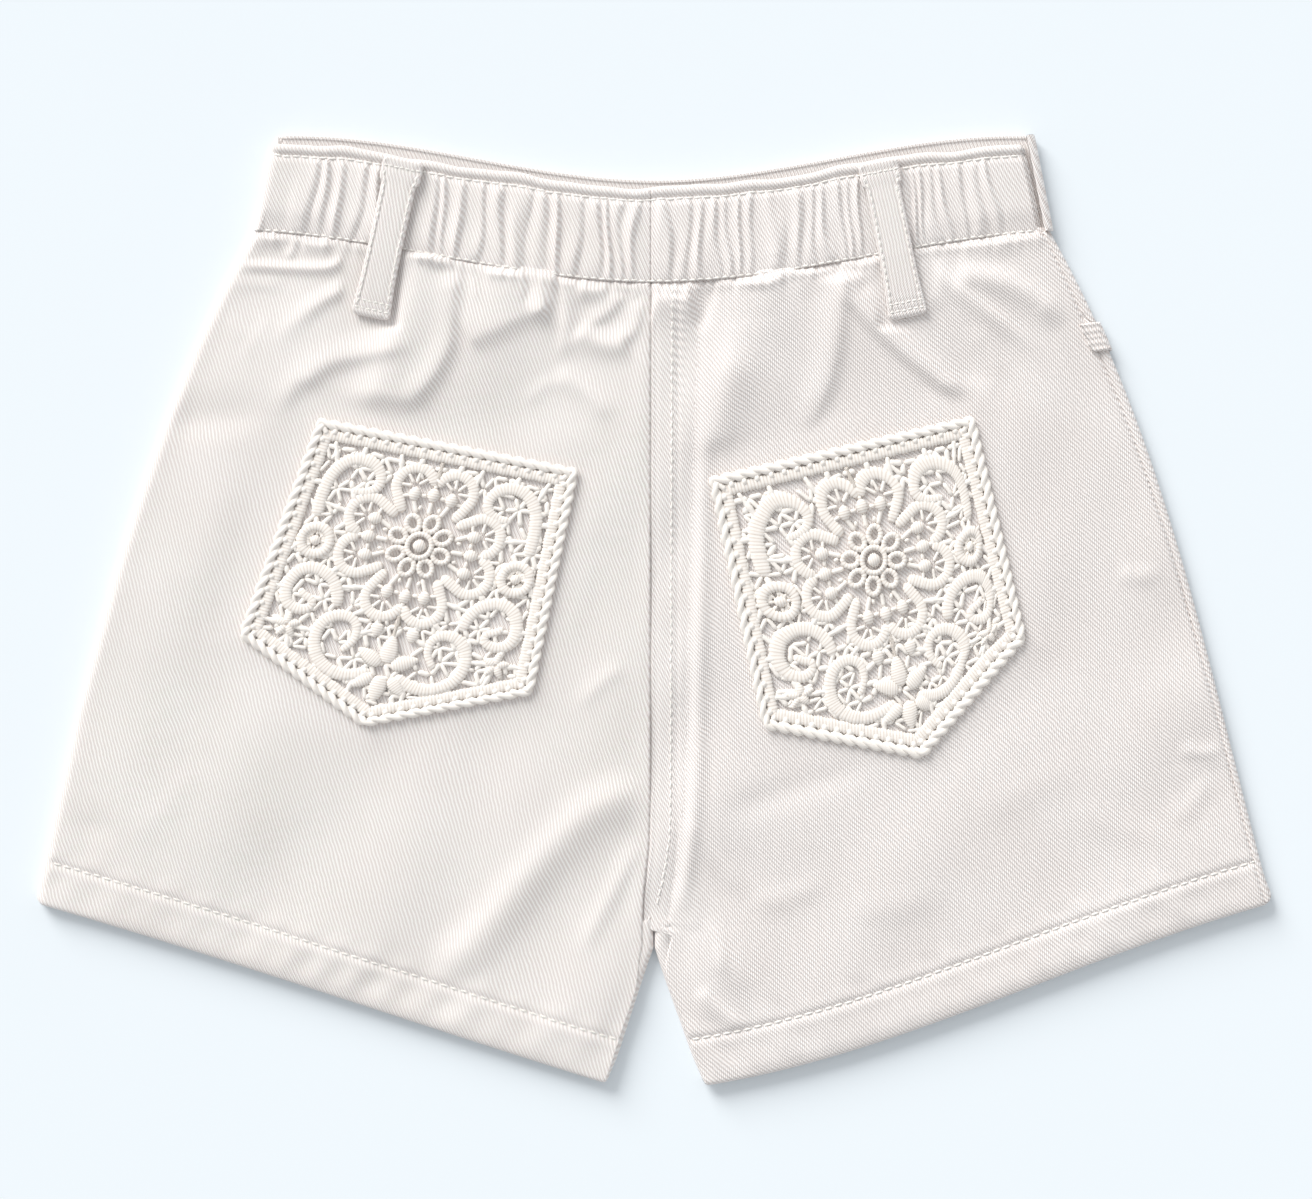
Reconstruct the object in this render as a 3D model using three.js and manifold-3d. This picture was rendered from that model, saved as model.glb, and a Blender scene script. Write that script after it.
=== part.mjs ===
// Child's white cotton twill shorts, laid flat with the back up.
// Millimetres. +X to the right, +Y from the hems to the waist, +Z up from the surface they lie on.
// The origin is under the middle of the waist-to-crotch line, on that surface.
import * as THREE from 'three';
import Module from 'manifold-3d';

const wasm = await Module();
wasm.setup();

// ---------------------------------------------------------------- driving sizes

const SEAM_GAP = 0.3; // between pieces that are sewn together
const CLOTH = 1.0; // twill wall
const HEM_WALL = 1.8; // turned-up hem, thickened towards the inside
const BAND_WALL = 2.4; // waistband: two layers of twill over elastic
const EDGE_RADIUS = 2.0; // how a panel rolls over at the side and the inner leg
const BAND_RADIUS = 2.7; // how the waistband rolls over at the side
const EDGE_TOP = 2 * EDGE_RADIUS; // height of the back along those edges
const BODY_TOP = 5.0; // height of the back where it lies smooth
const PLAIN_INSIDE = 4.4; // folds stand up over this height and leave the inside plain
const BAND_INSIDE = 3.0; // underside of the back waistband
const BAND_TOP = BAND_INSIDE + BAND_WALL;

const WAIST_CENTRE_Y = 105; // waist seam at the middle
const WAIST_RISE = 17; // how much higher it lies towards the sides
const WAIST_RISE_WIDTH = 140;
const BACK_BAND_Y = 134.5; // top edge of the back waistband at the middle
const BACK_BAND_RISE = 15;
const BACK_BAND_RISE_WIDTH = 125;
const FRONT_BAND_Y = 138; // top edge of the front waistband at the middle
const FRONT_BAND_RISE = 14.2;
const FRONT_BAND_RISE_WIDTH = 115;
const BAND_TOP_HALF_WIDTH = 122;
const WAIST_HALF_WIDTH = 128;

const CROTCH_Y = -107.8; // front crotch point
const BACK_SEAM_X = -1; // centre back seam
const BACK_SEAM_END_Y = -102.4;
const INNER_WRAP = 2.5; // how far the front turns over the inner leg
const SIDE_UNDERLAP = 3.0; // how far the back turns under the left side
const FELL_WIDTH = 11; // flat-felled strip beside the centre back seam
const FELL_HEIGHT = 0.8;
const FRONT_HEM_INSET = 0.6;
const CROTCH_V = 0.8; // share of the leg's length down to the crotch
const HEM_V = 0.9375; // share of the leg's length down to the hem stitching
const LEG_LENGTH = 240;
const HALF_WIDTH = 198;

const POCKET_GAP = 0.3; // lace pocket above the panel
const LACE_GROUND = 1.2; // height of bars, knots and the chain edge
const LACE_CORD = 1.9; // height of the padded cords
const LACE_TOLERANCE = 0.3; // slivers left by joining the cords are cleared below this

// ---------------------------------------------------------------- small maths

const mix = (a, b, t) => a + (b - a) * t;
const clamp01 = (t) => Math.min(1, Math.max(0, t));
const smooth = (t) => clamp01(t) ** 2 * (3 - 2 * clamp01(t));
const steps = (n) => Array.from({ length: n + 1 }, (_, i) => i / n);

// straight-line reading of a table of { at, value } rows
function tableValue(rows, at) {
  const next = rows.findIndex((row) => row.at >= at);
  if (next < 0) return rows[rows.length - 1].value;
  if (next === 0) return rows[0].value;
  const [a, b] = [rows[next - 1], rows[next]];
  return mix(a.value, b.value, (at - a.at) / (b.at - a.at));
}

const waistSeamY = (x) => WAIST_CENTRE_Y + WAIST_RISE * smooth(Math.abs(x) / WAIST_RISE_WIDTH);
const backBandY = (x) => BACK_BAND_Y + BACK_BAND_RISE * smooth(Math.abs(x) / BACK_BAND_RISE_WIDTH);
const frontBandY = (x) => FRONT_BAND_Y + FRONT_BAND_RISE * smooth(Math.abs(x) / FRONT_BAND_RISE_WIDTH);

// ---------------------------------------------------------------- leg plan

function curve(start, handle1, handle2, end) {
  const points = [start, handle1, handle2, end].map(([x, y]) => new THREE.Vector2(x, y));
  return new THREE.CubicBezierCurve(...points);
}

const waistPoint = (x) => [x, waistSeamY(x) - SEAM_GAP / 2];

// Outline of each leg as it lies: side, hem and inner leg.
const LEGS = {
  left: {
    sign: -1,
    side: curve(waistPoint(-WAIST_HALF_WIDTH), [-165.6, 54.1], [-182.2, -20.4], [-HALF_WIDTH, -93.6]),
    hem: curve([-14.5, -151.6], [-77.5, -132.1], [-137.6, -110.9], [-HALF_WIDTH, -93.6]),
    inner: curve([-SEAM_GAP / 2, CROTCH_Y], [-5.1, -122.1], [-9.6, -136.4], [-14.5, -151.6]),
  },
  right: {
    sign: 1,
    side: curve(waistPoint(WAIST_HALF_WIDTH - 1), [165.6, 53.1], [177.4, -19.3], [HALF_WIDTH, -93.6]),
    hem: curve([15.4, -152.2], [77.7, -142.7], [134.4, -111.2], [HALF_WIDTH, -93.6]),
    inner: curve([SEAM_GAP / 2, CROTCH_Y], [4.9, -123.0], [9.9, -135.0], [15.4, -152.2]),
  },
};

// Plan of a leg: u runs from the middle (0) to the side (1), v from the waist seam (0) to the hem (1).
function planOf({ sign, side, hem, inner }) {
  const middleX = (sign * SEAM_GAP) / 2;
  const sideTopX = side.v0.x;
  const top = (u) => new THREE.Vector2(...waistPoint(mix(middleX, sideTopX, u)));
  const middle = (v) => {
    if (v > CROTCH_V) return inner.getPoint((v - CROTCH_V) / (1 - CROTCH_V));
    return new THREE.Vector2(middleX, mix(top(0).y, CROTCH_Y, v / CROTCH_V));
  };
  const corner = { top0: top(0), top1: top(1), hem0: hem.getPoint(0), hem1: hem.getPoint(1) };
  return (u, v) => {
    const point = new THREE.Vector2();
    point.addScaledVector(top(u), 1 - v).addScaledVector(hem.getPoint(clamp01(u)), v);
    point.addScaledVector(middle(v), 1 - u).addScaledVector(side.getPoint(v), u);
    point.addScaledVector(corner.top0, -(1 - u) * (1 - v)).addScaledVector(corner.top1, -u * (1 - v));
    point.addScaledVector(corner.hem0, -(1 - u) * v).addScaledVector(corner.hem1, -u * v);
    return point;
  };
}
for (const leg of Object.values(LEGS)) leg.plan = planOf(leg);

// How much u changes for one millimetre straight in from the edge at u = edge.
function shareOfMillimetre(leg, edge, v) {
  const step = 0.002;
  const inward = edge === 0 ? step : -step;
  const here = leg.plan(edge, v);
  const across = leg.plan(edge + inward, v).sub(here).divideScalar(step);
  const along = leg.plan(edge, Math.min(1, v + step)).sub(leg.plan(edge, Math.max(0, v - step)));
  return 1 / Math.abs(along.normalize().cross(across));
}

// ---------------------------------------------------------------- lace pocket places

// Pocket design: x across, y zero at the mouth and falling to the point.
const POCKET = { mouthHalf: 42.5, baseHalf: 48, sideDepth: 73.5, pointDepth: 95 };

const POCKET_PLACES = {
  left: {
    mouthLeft: [-107.2, 61.8],
    mouthRight: [-24, 45.4],
    baseLeft: [-132.8, -8],
    baseRight: [-38.7, -26.7],
    point: [-93.1, -37.1],
  },
  right: {
    mouthLeft: [17.3, 42.7],
    mouthRight: [102.3, 62.5],
    baseLeft: [34.8, -37.6],
    baseRight: [119, -8.9],
    point: [86, -47.3],
  },
};

function pocketPoint(place, x, y) {
  const { mouthLeft, mouthRight, baseLeft, baseRight, point } = place;
  const depth = -y / POCKET.sideDepth;
  if (depth <= 1) {
    const share = (x / mix(POCKET.mouthHalf, POCKET.baseHalf, depth) + 1) / 2;
    return [0, 1].map((k) => {
      const onMouth = mix(mouthLeft[k], mouthRight[k], share);
      return mix(onMouth, mix(baseLeft[k], baseRight[k], share), depth);
    });
  }
  const drop = (-y - POCKET.sideDepth) / (POCKET.pointDepth - POCKET.sideDepth);
  const toRight = (1 - drop + x / POCKET.baseHalf) / 2;
  const toLeft = 1 - drop - toRight;
  return [0, 1].map((k) => baseLeft[k] * toLeft + baseRight[k] * toRight + point[k] * drop);
}

// distance from a point to the pocket's outline, negative inside
function pocketClearance(place, x, y) {
  const corners = [place.mouthLeft, place.baseLeft, place.point, place.baseRight, place.mouthRight];
  const outside = corners.map((a, i) => {
    const b = corners[(i + 1) % corners.length];
    const length = Math.hypot(b[0] - a[0], b[1] - a[1]);
    return -((b[0] - a[0]) * (y - a[1]) - (b[1] - a[1]) * (x - a[0])) / length;
  });
  return Math.max(...outside);
}

// ---------------------------------------------------------------- folds of the back

// Each fold runs along start, bend and end. Its height falls off over `left` and `right` millimetres to
// either side, seen from start to end; a small one makes the crisp edge of a pleat. `fade` is the share of
// its length over which it rises and dies away.
const FOLDS = [
  { start: [-135, 111], bend: [-115, 112], end: [-97, 111], height: 1.2, left: 5, right: 6, fade: 0.3 },
  { start: [-64, 112], bend: [-62, 92], end: [-80, 67], height: 2.2, left: 3, right: 12, fade: 0.2 },
  { start: [-118, 76], bend: [-101, 82], end: [-84, 88], height: -0.7, left: 8, right: 8, fade: 0.4 },
  { start: [-37, 108], bend: [-36, 101], end: [-33, 96], height: 1.0, left: 5, right: 4, fade: 0.3 },
  { start: [-12, 104], bend: [-12, 97], end: [-13, 88], height: 1.2, left: 4, right: 4, fade: 0.3 },
  { start: [21, 105], bend: [15, 85], end: [13, 36], height: 2.0, left: 10, right: 3, fade: 0.25 },
  { start: [44, 109], bend: [42, 100], end: [37, 90], height: 1.8, left: 3, right: 10, fade: 0.3 },
  { start: [59, 107], bend: [74, 88], end: [99, 64], height: -0.8, left: 7, right: 5, fade: 0.3 },
  { start: [87, 112], bend: [99, 98], end: [113, 82], height: 1.3, left: 7, right: 6, fade: 0.35 },
  { start: [-8, -84], bend: [-32, -97], end: [-66, -110], height: -0.7, left: 7, right: 7, fade: 0.4 },
  { start: [-14, -70], bend: [-36, -86], end: [-62, -96], height: 0.8, left: 7, right: 7, fade: 0.4 },
  { start: [10, -92], bend: [14, -112], end: [26, -128], height: 0.7, left: 7, right: 7, fade: 0.4 },
  { start: [140, -70], bend: [162, -73], end: [186, -76], height: 0.6, left: 8, right: 8, fade: 0.4 },
];

// Puffs just under the waist seam, where the gathers end.
const PUFFS = [
  { x: -108, half: 8, height: 0.7, drop: 12 },
  { x: -60, half: 4.5, height: 1.2, drop: 14 },
  { x: -48, half: 7, height: 1.1, drop: 16 },
  { x: -23, half: 10, height: 1.0, drop: 18 },
  { x: 8, half: 8, height: 0.8, drop: 14 },
  { x: 32, half: 11, height: 1.4, drop: 18 },
  { x: 51, half: 7, height: 1.0, drop: 18 },
  { x: 96, half: 9, height: 1.2, drop: 14 },
  { x: 112, half: 8, height: 0.7, drop: 12 },
];

function foldHeight({ start, bend, end, height, left, right, fade }, x, y) {
  const pieces = 8;
  const path = new THREE.QuadraticBezierCurve(
    new THREE.Vector2(...start), new THREE.Vector2(...bend), new THREE.Vector2(...end));
  const here = new THREE.Vector2(x, y);
  let best = { distance: Infinity };
  for (let i = 0; i < pieces; i += 1) {
    const a = path.getPoint(i / pieces);
    const along = path.getPoint((i + 1) / pieces).sub(a);
    const share = clamp01(here.clone().sub(a).dot(along) / along.lengthSq());
    const away = here.clone().sub(a.clone().addScaledVector(along, share));
    const distance = away.length();
    if (distance < best.distance) {
      best = { distance, t: (i + share) / pieces, isLeft: along.cross(away) > 0 };
    }
  }
  const reach = best.isLeft ? left : right;
  const ends = smooth(best.t / fade) * smooth((1 - best.t) / fade);
  return height * ends * Math.exp(-((best.distance / reach) ** 2));
}

const PUFF_RISE = 4; // a puff reaches its height this far below the seam

function puffHeight({ x: middle, half, height, drop }, x, y) {
  const below = waistSeamY(x) - y;
  const across = Math.max(0, 1 - ((x - middle) / half) ** 2);
  return height * across * smooth(below / PUFF_RISE) * (1 - smooth((below - PUFF_RISE) / drop));
}

const BELT_LOOPS = [
  { name: 'left', top: [-79.7, 144.3], bottom: [-90.2, 95.7] },
  { name: 'right', top: [71.4, 143.7], bottom: [80.8, 95.7] },
];

// Where the folds are kept low: round a pocket and under a belt loop.
const POCKET_CLEAR = 9; // raised folds stop this far from the lace
const POCKET_FADE = 8;
const HOLLOW_FADE = 6;
const LOOP_CLEAR = 8; // half-width
const LOOP_CLEAR_Y = 92; // above this
const LOOP_FADE = 5;

// Folds and puffs together. They die away at the lace pockets and under the belt loops.
function reliefHeight(x, y) {
  const folds = FOLDS.reduce((sum, fold) => sum + foldHeight(fold, x, y), 0);
  const relief = PUFFS.reduce((sum, puff) => sum + puffHeight(puff, x, y), folds);
  const clearance = Math.min(...Object.values(POCKET_PLACES).map((place) => pocketClearance(place, x, y)));
  if (relief < 0) return relief * smooth(clearance / HOLLOW_FADE);
  const below = Math.max(0, LOOP_CLEAR_Y - y);
  const byLoop = Math.min(...BELT_LOOPS.map((loop) =>
    Math.hypot(Math.max(0, Math.abs(x - loop.bottom[0]) - LOOP_CLEAR), below)));
  return relief * smooth((clearance - POCKET_CLEAR) / POCKET_FADE) * smooth(byLoop / LOOP_FADE);
}

// ---------------------------------------------------------------- walls

const TWILL_WHITE = 0xe8e4e0;
const LACE_WHITE = 0xf0ece7;
const COTTON_ROUGHNESS = 0.9;

function meshOf(name, geometry, colour = TWILL_WHITE) {
  const finish = { color: colour, roughness: COTTON_ROUGHNESS, metalness: 0 };
  const material = new THREE.MeshStandardMaterial(finish);
  const mesh = new THREE.Mesh(geometry, material);
  mesh.name = name;
  return mesh;
}

// Closed wall between an outer and an inner sheet of points, both given row by row. Seen from outside, rows
// follow one another downwards and columns run to the right.
function wallGeometry(rows) {
  const count = rows.length;
  const width = rows[0].length;
  const positions = [];
  for (const side of ['outer', 'inner']) {
    for (const row of rows) row.forEach((column) => positions.push(...column[side]));
  }
  const indices = [];
  const at = (layer, j, i) => (layer * count + j) * width + i;
  const quad = (a, b, c, d) => indices.push(a, b, c, a, c, d);
  for (let j = 0; j < count - 1; j += 1) {
    for (let i = 0; i < width - 1; i += 1) {
      quad(at(0, j, i), at(0, j + 1, i), at(0, j + 1, i + 1), at(0, j, i + 1));
      quad(at(1, j, i), at(1, j, i + 1), at(1, j + 1, i + 1), at(1, j + 1, i));
    }
    quad(at(0, j, 0), at(1, j, 0), at(1, j + 1, 0), at(0, j + 1, 0));
    quad(at(0, j + 1, width - 1), at(1, j + 1, width - 1), at(1, j, width - 1), at(0, j, width - 1));
  }
  for (let i = 0; i < width - 1; i += 1) {
    quad(at(0, 0, i + 1), at(1, 0, i + 1), at(1, 0, i), at(0, 0, i));
    quad(at(0, count - 1, i), at(1, count - 1, i), at(1, count - 1, i + 1), at(0, count - 1, i + 1));
  }
  const geometry = new THREE.BufferGeometry();
  geometry.setAttribute('position', new THREE.Float32BufferAttribute(positions, 3));
  geometry.setIndex(indices);
  return geometry;
}

// A wall whose columns were made from the middle outwards is turned round on the left half.
const asSeen = (rows, sign) => (sign > 0 ? rows : rows.map((row) => [...row].reverse()));

function solidFrom(vertices, triangles) {
  return new wasm.Manifold(new wasm.Mesh({
    numProp: 3,
    vertProperties: new Float32Array(vertices),
    triVerts: new Uint32Array(triangles),
  }));
}

const solidOfWall = (geometry) => solidFrom(geometry.attributes.position.array, geometry.index.array);

// ExtrudeGeometry repeats its corners, so they are joined before the solid is made.
function solidOfExtrusion(geometry) {
  const seen = new Map();
  const vertices = [];
  const position = geometry.attributes.position;
  const triangles = Array.from({ length: position.count }, (_, i) => {
    const corner = [position.getX(i), position.getY(i), position.getZ(i)].map((c) => Math.fround(c));
    const key = corner.map((c) => c.toFixed(4)).join();
    if (!seen.has(key)) {
      seen.set(key, seen.size);
      vertices.push(...corner);
    }
    return seen.get(key);
  });
  return solidFrom(vertices, triangles);
}

function geometryOf(solid) {
  const { vertProperties, triVerts } = solid.getMesh();
  const geometry = new THREE.BufferGeometry();
  geometry.setAttribute('position', new THREE.Float32BufferAttribute(vertProperties, 3));
  geometry.setIndex(Array.from(triVerts));
  return geometry;
}

// Columns of an edge that rolls over. `inset` is millimetres in from the edge and z the height, for the
// outer and the inner sheet. turn is +1 where the cloth climbs from the surface and -1 where it drops to it;
// full is the share of the half turn that is made.
function rollColumns({ radius, wall, turn, full, overlap, count = 5 }) {
  const point = (r, angle) => ({
    inset: radius - r * Math.sin(angle),
    z: radius - turn * r * Math.cos(angle),
  });
  const start = radius * Math.sin(Math.min(full * Math.PI, Math.PI / 2));
  const columns = steps(count).map((t) => {
    const angle = t * full * Math.PI;
    const [outer, inner] = [point(radius, angle), point(radius - wall, angle)];
    outer.inset += start - radius;
    inner.inset += start - radius;
    return { outer, inner };
  });
  if (full === 1) {
    const last = columns[columns.length - 1];
    columns.push({
      outer: { inset: overlap, z: last.outer.z },
      inner: { inset: overlap, z: last.inner.z },
    });
  }
  return columns;
}

// ---------------------------------------------------------------- back panels

// how far the right front turns over the side, down the leg
const SIDE_WRAP = [
  { at: 0, value: 2.4 },
  { at: 0.14, value: 3.8 },
  { at: 0.26, value: 3.5 },
  { at: 0.54, value: 2.6 },
  { at: 0.76, value: 2.2 },
];

// Rows down the leg. Two lie close together where the back ends at the crotch and two at the hem stitching.
const BACK_CROTCH_V = CROTCH_V * (WAIST_CENTRE_Y - BACK_SEAM_END_Y) / (WAIST_CENTRE_Y - CROTCH_Y);
const ROW_STEP = 0.003;
const BACK_ROWS = [0, 0.02, 0.045, 0.08, 0.12, 0.17, 0.23, 0.3, 0.37, 0.44, 0.51, 0.58, 0.65, 0.72,
  BACK_CROTCH_V, BACK_CROTCH_V + ROW_STEP, CROTCH_V, 0.83, 0.88, HEM_V - ROW_STEP, HEM_V, 0.97, 1];
const PANEL_COLUMNS = 15;

// where the back panel's inner edge lies, in millimetres out from the front's middle line and inner leg
function backInnerEdge(sign, v) {
  const legEdge = INNER_WRAP + SEAM_GAP;
  return tableValue([
    { at: BACK_CROTCH_V, value: sign * BACK_SEAM_X },
    { at: BACK_CROTCH_V + ROW_STEP, value: 3.7 },
    { at: CROTCH_V, value: 3.9 },
    { at: CROTCH_V + 0.03, value: legEdge },
  ], v);
}

// How far in from each edge the back reaches its full height, and its folds theirs.
const CROWN = { side: 30, innerLeg: 22, hem: 30 };
const FOLD_FADE = { side: 12, innerLeg: 12, hem: 16 };

// height of the back panel's outer side
function backTop(leg, u, v, fromMiddle, rowWidth) {
  const { x, y } = leg.plan(u, v);
  const fromSide = rowWidth - fromMiddle;
  const fromHem = (1 - v) * LEG_LENGTH;
  const innerLeg = v > BACK_CROTCH_V ? fromMiddle : Math.hypot(fromMiddle, y - BACK_SEAM_END_Y);
  const reached = (fade) =>
    smooth(fromSide / fade.side) * smooth(innerLeg / fade.innerLeg) * smooth(fromHem / fade.hem);
  return mix(EDGE_TOP, BODY_TOP, reached(CROWN)) + reliefHeight(x, y) * reached(FOLD_FADE);
}

// width of the felled strip, which narrows as it turns under at the crotch
const FELL_TABLE = [
  { at: 0.6, value: FELL_WIDTH },
  { at: 0.72, value: 9 },
  { at: BACK_CROTCH_V, value: 4.5 },
];

// how far the cloth beside the centre seam dips as it turns under at the crotch
const CROTCH_DIP = [
  { at: 0.72, value: 0 },
  { at: BACK_CROTCH_V, value: 1.5 },
  { at: CROTCH_V, value: 0 },
];
const DIP_WIDTH = 5;
const FELL_EDGE = 0.97; // the strip's edge drops between this share of its width and the whole

function backRow(leg, v) {
  const isLeft = leg.sign < 0;
  const middleShare = shareOfMillimetre(leg, 0, v);
  const sideShare = shareOfMillimetre(leg, 1, v);
  const rowWidth = leg.plan(1, v).distanceTo(leg.plan(0, v));
  const wall = v >= HEM_V ? HEM_WALL : CLOTH;
  const startU = backInnerEdge(leg.sign, v) * middleShare;
  const sideInset = isLeft ? EDGE_RADIUS : tableValue(SIDE_WRAP, v) + SEAM_GAP;
  const endU = 1 - sideInset * sideShare;
  const fell = tableValue(FELL_TABLE, v);
  const hasFell = !isLeft && v <= BACK_CROTCH_V;
  const stripShares = [0, 0.5, FELL_EDGE, 1].map((t) => startU + t * fell * middleShare);
  const fieldStart = stripShares[3];
  const fieldShares = steps(PANEL_COLUMNS).slice(1).map((t) => mix(fieldStart, endU, t));
  const columns = [...stripShares, ...fieldShares].map((u, i) => {
    const { x, y } = leg.plan(u, v);
    const fromMiddle = (u - startU) / middleShare;
    const dip = tableValue(CROTCH_DIP, v) * smooth(2 - fromMiddle / DIP_WIDTH);
    const smoothTop = backTop(leg, u, v, fromMiddle, rowWidth) - dip;
    const top = smoothTop + (hasFell && i < 3 ? FELL_HEIGHT : 0);
    return { outer: [x, y, top], inner: [x, y, Math.min(smoothTop - wall, PLAIN_INSIDE)] };
  });
  if (!isLeft) return columns;
  const roll = rollColumns({ radius: EDGE_RADIUS, wall, turn: -1, full: 1, overlap: SIDE_UNDERLAP });
  const place = ({ inset, z }) => {
    const { x, y } = leg.plan(1 - inset * sideShare, v);
    return [x, y, z];
  };
  const rolled = roll.slice(1).map(({ outer, inner }) => ({ outer: place(outer), inner: place(inner) }));
  return [...columns, ...rolled];
}

function backPanel(name) {
  const leg = LEGS[name];
  const rows = BACK_ROWS.map((v) => backRow(leg, v));
  return meshOf(`back_${name}`, wallGeometry(asSeen(rows, leg.sign)));
}

// ---------------------------------------------------------------- front panels and hip pocket facings

const FRONT_ROWS = [0, 0.07, 0.15, 0.25, 0.37, 0.5, 0.63, 0.74, BACK_CROTCH_V, 0.79,
  CROTCH_V, 0.817, 0.836, 0.88, HEM_V - ROW_STEP, HEM_V, 1 - FRONT_HEM_INSET / LEG_LENGTH];
const FRONT_COLUMNS = 7;
const ROLL_START_V = 0.772; // above this the front's middle edge lies flat
const ROLL_FULL_V = 0.836; // below this it has turned right over the inner leg
const LEAST_ROLL = 0.1;
const ROLL_REACH = 0.15; // how far a part roll runs on past its last column

function frontRow(leg, v) {
  const isLeft = leg.sign < 0;
  const wall = v >= HEM_V ? HEM_WALL : CLOTH;
  const middleShare = shareOfMillimetre(leg, 0, v);
  const sideShare = shareOfMillimetre(leg, 1, v);
  const turned = clamp01((v - ROLL_START_V) / (ROLL_FULL_V - ROLL_START_V));
  const innerRoll = rollColumns({
    radius: EDGE_RADIUS, wall, turn: 1, full: mix(LEAST_ROLL, 1, turned), overlap: INNER_WRAP });
  // every row needs the same number of columns
  if (turned < 1) innerRoll.push(...extendRoll(innerRoll));
  const sideRoll = isLeft ? [] : rollColumns({
    radius: EDGE_RADIUS, wall, turn: 1, full: 1, overlap: tableValue(SIDE_WRAP, v) });
  const startU = innerRoll[0].outer.inset * middleShare;
  const endU = 1 - (isLeft ? SIDE_UNDERLAP + SEAM_GAP : EDGE_RADIUS) * sideShare;
  const place = (u, z) => {
    const { x, y } = leg.plan(u, v);
    return [x, y, z];
  };
  const onMiddle = ({ inset, z }) => place(inset * middleShare, z);
  const onSide = ({ inset, z }) => place(1 - inset * sideShare, z);
  return [
    ...innerRoll.slice(1).reverse().map((c) => ({ outer: onMiddle(c.outer), inner: onMiddle(c.inner) })),
    ...steps(FRONT_COLUMNS).map((t) => {
      const u = mix(startU, endU, t);
      return { outer: place(u, 0), inner: place(u, wall) };
    }),
    ...sideRoll.slice(1).map((c) => ({ outer: onSide(c.outer), inner: onSide(c.inner) })),
  ];
}

// one more column straight on from the end of a part roll
function extendRoll(columns) {
  const [before, last] = columns.slice(-2);
  const onward = (side) => ({
    inset: mix(before[side].inset, last[side].inset, 1 + ROLL_REACH),
    z: mix(before[side].z, last[side].z, 1 + ROLL_REACH),
  });
  return [{ outer: onward('outer'), inner: onward('inner') }];
}

// The slanted mouth of a hip pocket: from the waist seam down to the side.
const MOUTH_WAIST_X = 95;
const MOUTH_SIDE = { x: 141, y: 92 };

const BEYOND = { x: 170, y: 130, below: -3, height: 12 }; // clear of the front on every side

// Upright prism over the corner of the front outside the mouth, grown by `grow`.
function mouthPrism(sign, grow) {
  const shape = new THREE.Shape([
    [MOUTH_WAIST_X - grow, BEYOND.y],
    [MOUTH_WAIST_X - grow, waistSeamY(MOUTH_WAIST_X) - grow],
    [MOUTH_SIDE.x - grow, MOUTH_SIDE.y - grow],
    [BEYOND.x, MOUTH_SIDE.y - grow],
    [BEYOND.x, BEYOND.y],
  ].map(([x, y]) => new THREE.Vector2(sign * x, y)));
  const prism = new THREE.ExtrudeGeometry(shape, { depth: BEYOND.height, bevelEnabled: false });
  return solidOfExtrusion(prism.translate(0, 0, BEYOND.below));
}

// The front's underside faces out, so its columns are turned round against the back's.
function frontHalf(name) {
  const leg = LEGS[name];
  const rows = FRONT_ROWS.map((v) => frontRow(leg, v));
  const whole = solidOfWall(wallGeometry(asSeen(rows, -leg.sign)));
  const front = whole.subtract(mouthPrism(leg.sign, SEAM_GAP / 2));
  const facing = whole.intersect(mouthPrism(leg.sign, -SEAM_GAP / 2));
  return [
    meshOf(`front_${name}`, geometryOf(front)),
    meshOf(`pocket_facing_${name}`, geometryOf(facing)),
  ];
}

// Small tab with two bar tacks that closes the end of the right hip pocket's mouth over the side.
const TAB = { topY: 92.5, bottomY: 83.5, wall: 0.9, reach: 5.5, startAngle: 0.3 * Math.PI, rows: 3, arc: 5 };

function pocketTab() {
  const leg = LEGS.right;
  const rows = steps(TAB.rows).map((t) => {
    const y = mix(TAB.topY, TAB.bottomY, t);
    const v = valueOfV(leg, y);
    const share = shareOfMillimetre(leg, 1, v);
    const place = (inset, z) => {
      const point = leg.plan(1 - inset * share, v);
      return [point.x, point.y, z];
    };
    const at = (r, angle) => place(EDGE_RADIUS - r * Math.sin(angle), EDGE_RADIUS - r * Math.cos(angle));
    const [inner, outer] = [EDGE_RADIUS + SEAM_GAP, EDGE_RADIUS + SEAM_GAP + TAB.wall];
    const over = steps(TAB.arc).map((s) => {
      const angle = mix(TAB.startAngle, Math.PI, s);
      return { outer: at(outer, angle), inner: at(inner, angle) };
    });
    const flat = {
      outer: place(TAB.reach, EDGE_RADIUS + outer),
      inner: place(TAB.reach, EDGE_RADIUS + inner),
    };
    return [flat, ...over.reverse()];
  });
  return meshOf('pocket_tab_right', wallGeometry(rows));
}

// the v at which the side of a leg passes a height y
function valueOfV(leg, y) {
  const halvings = 30;
  let [low, high] = [0, 1];
  for (let i = 0; i < halvings; i += 1) {
    const middle = (low + high) / 2;
    if (leg.side.getPoint(middle).y > y) low = middle;
    else high = middle;
  }
  return low;
}

// ---------------------------------------------------------------- waistband

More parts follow.
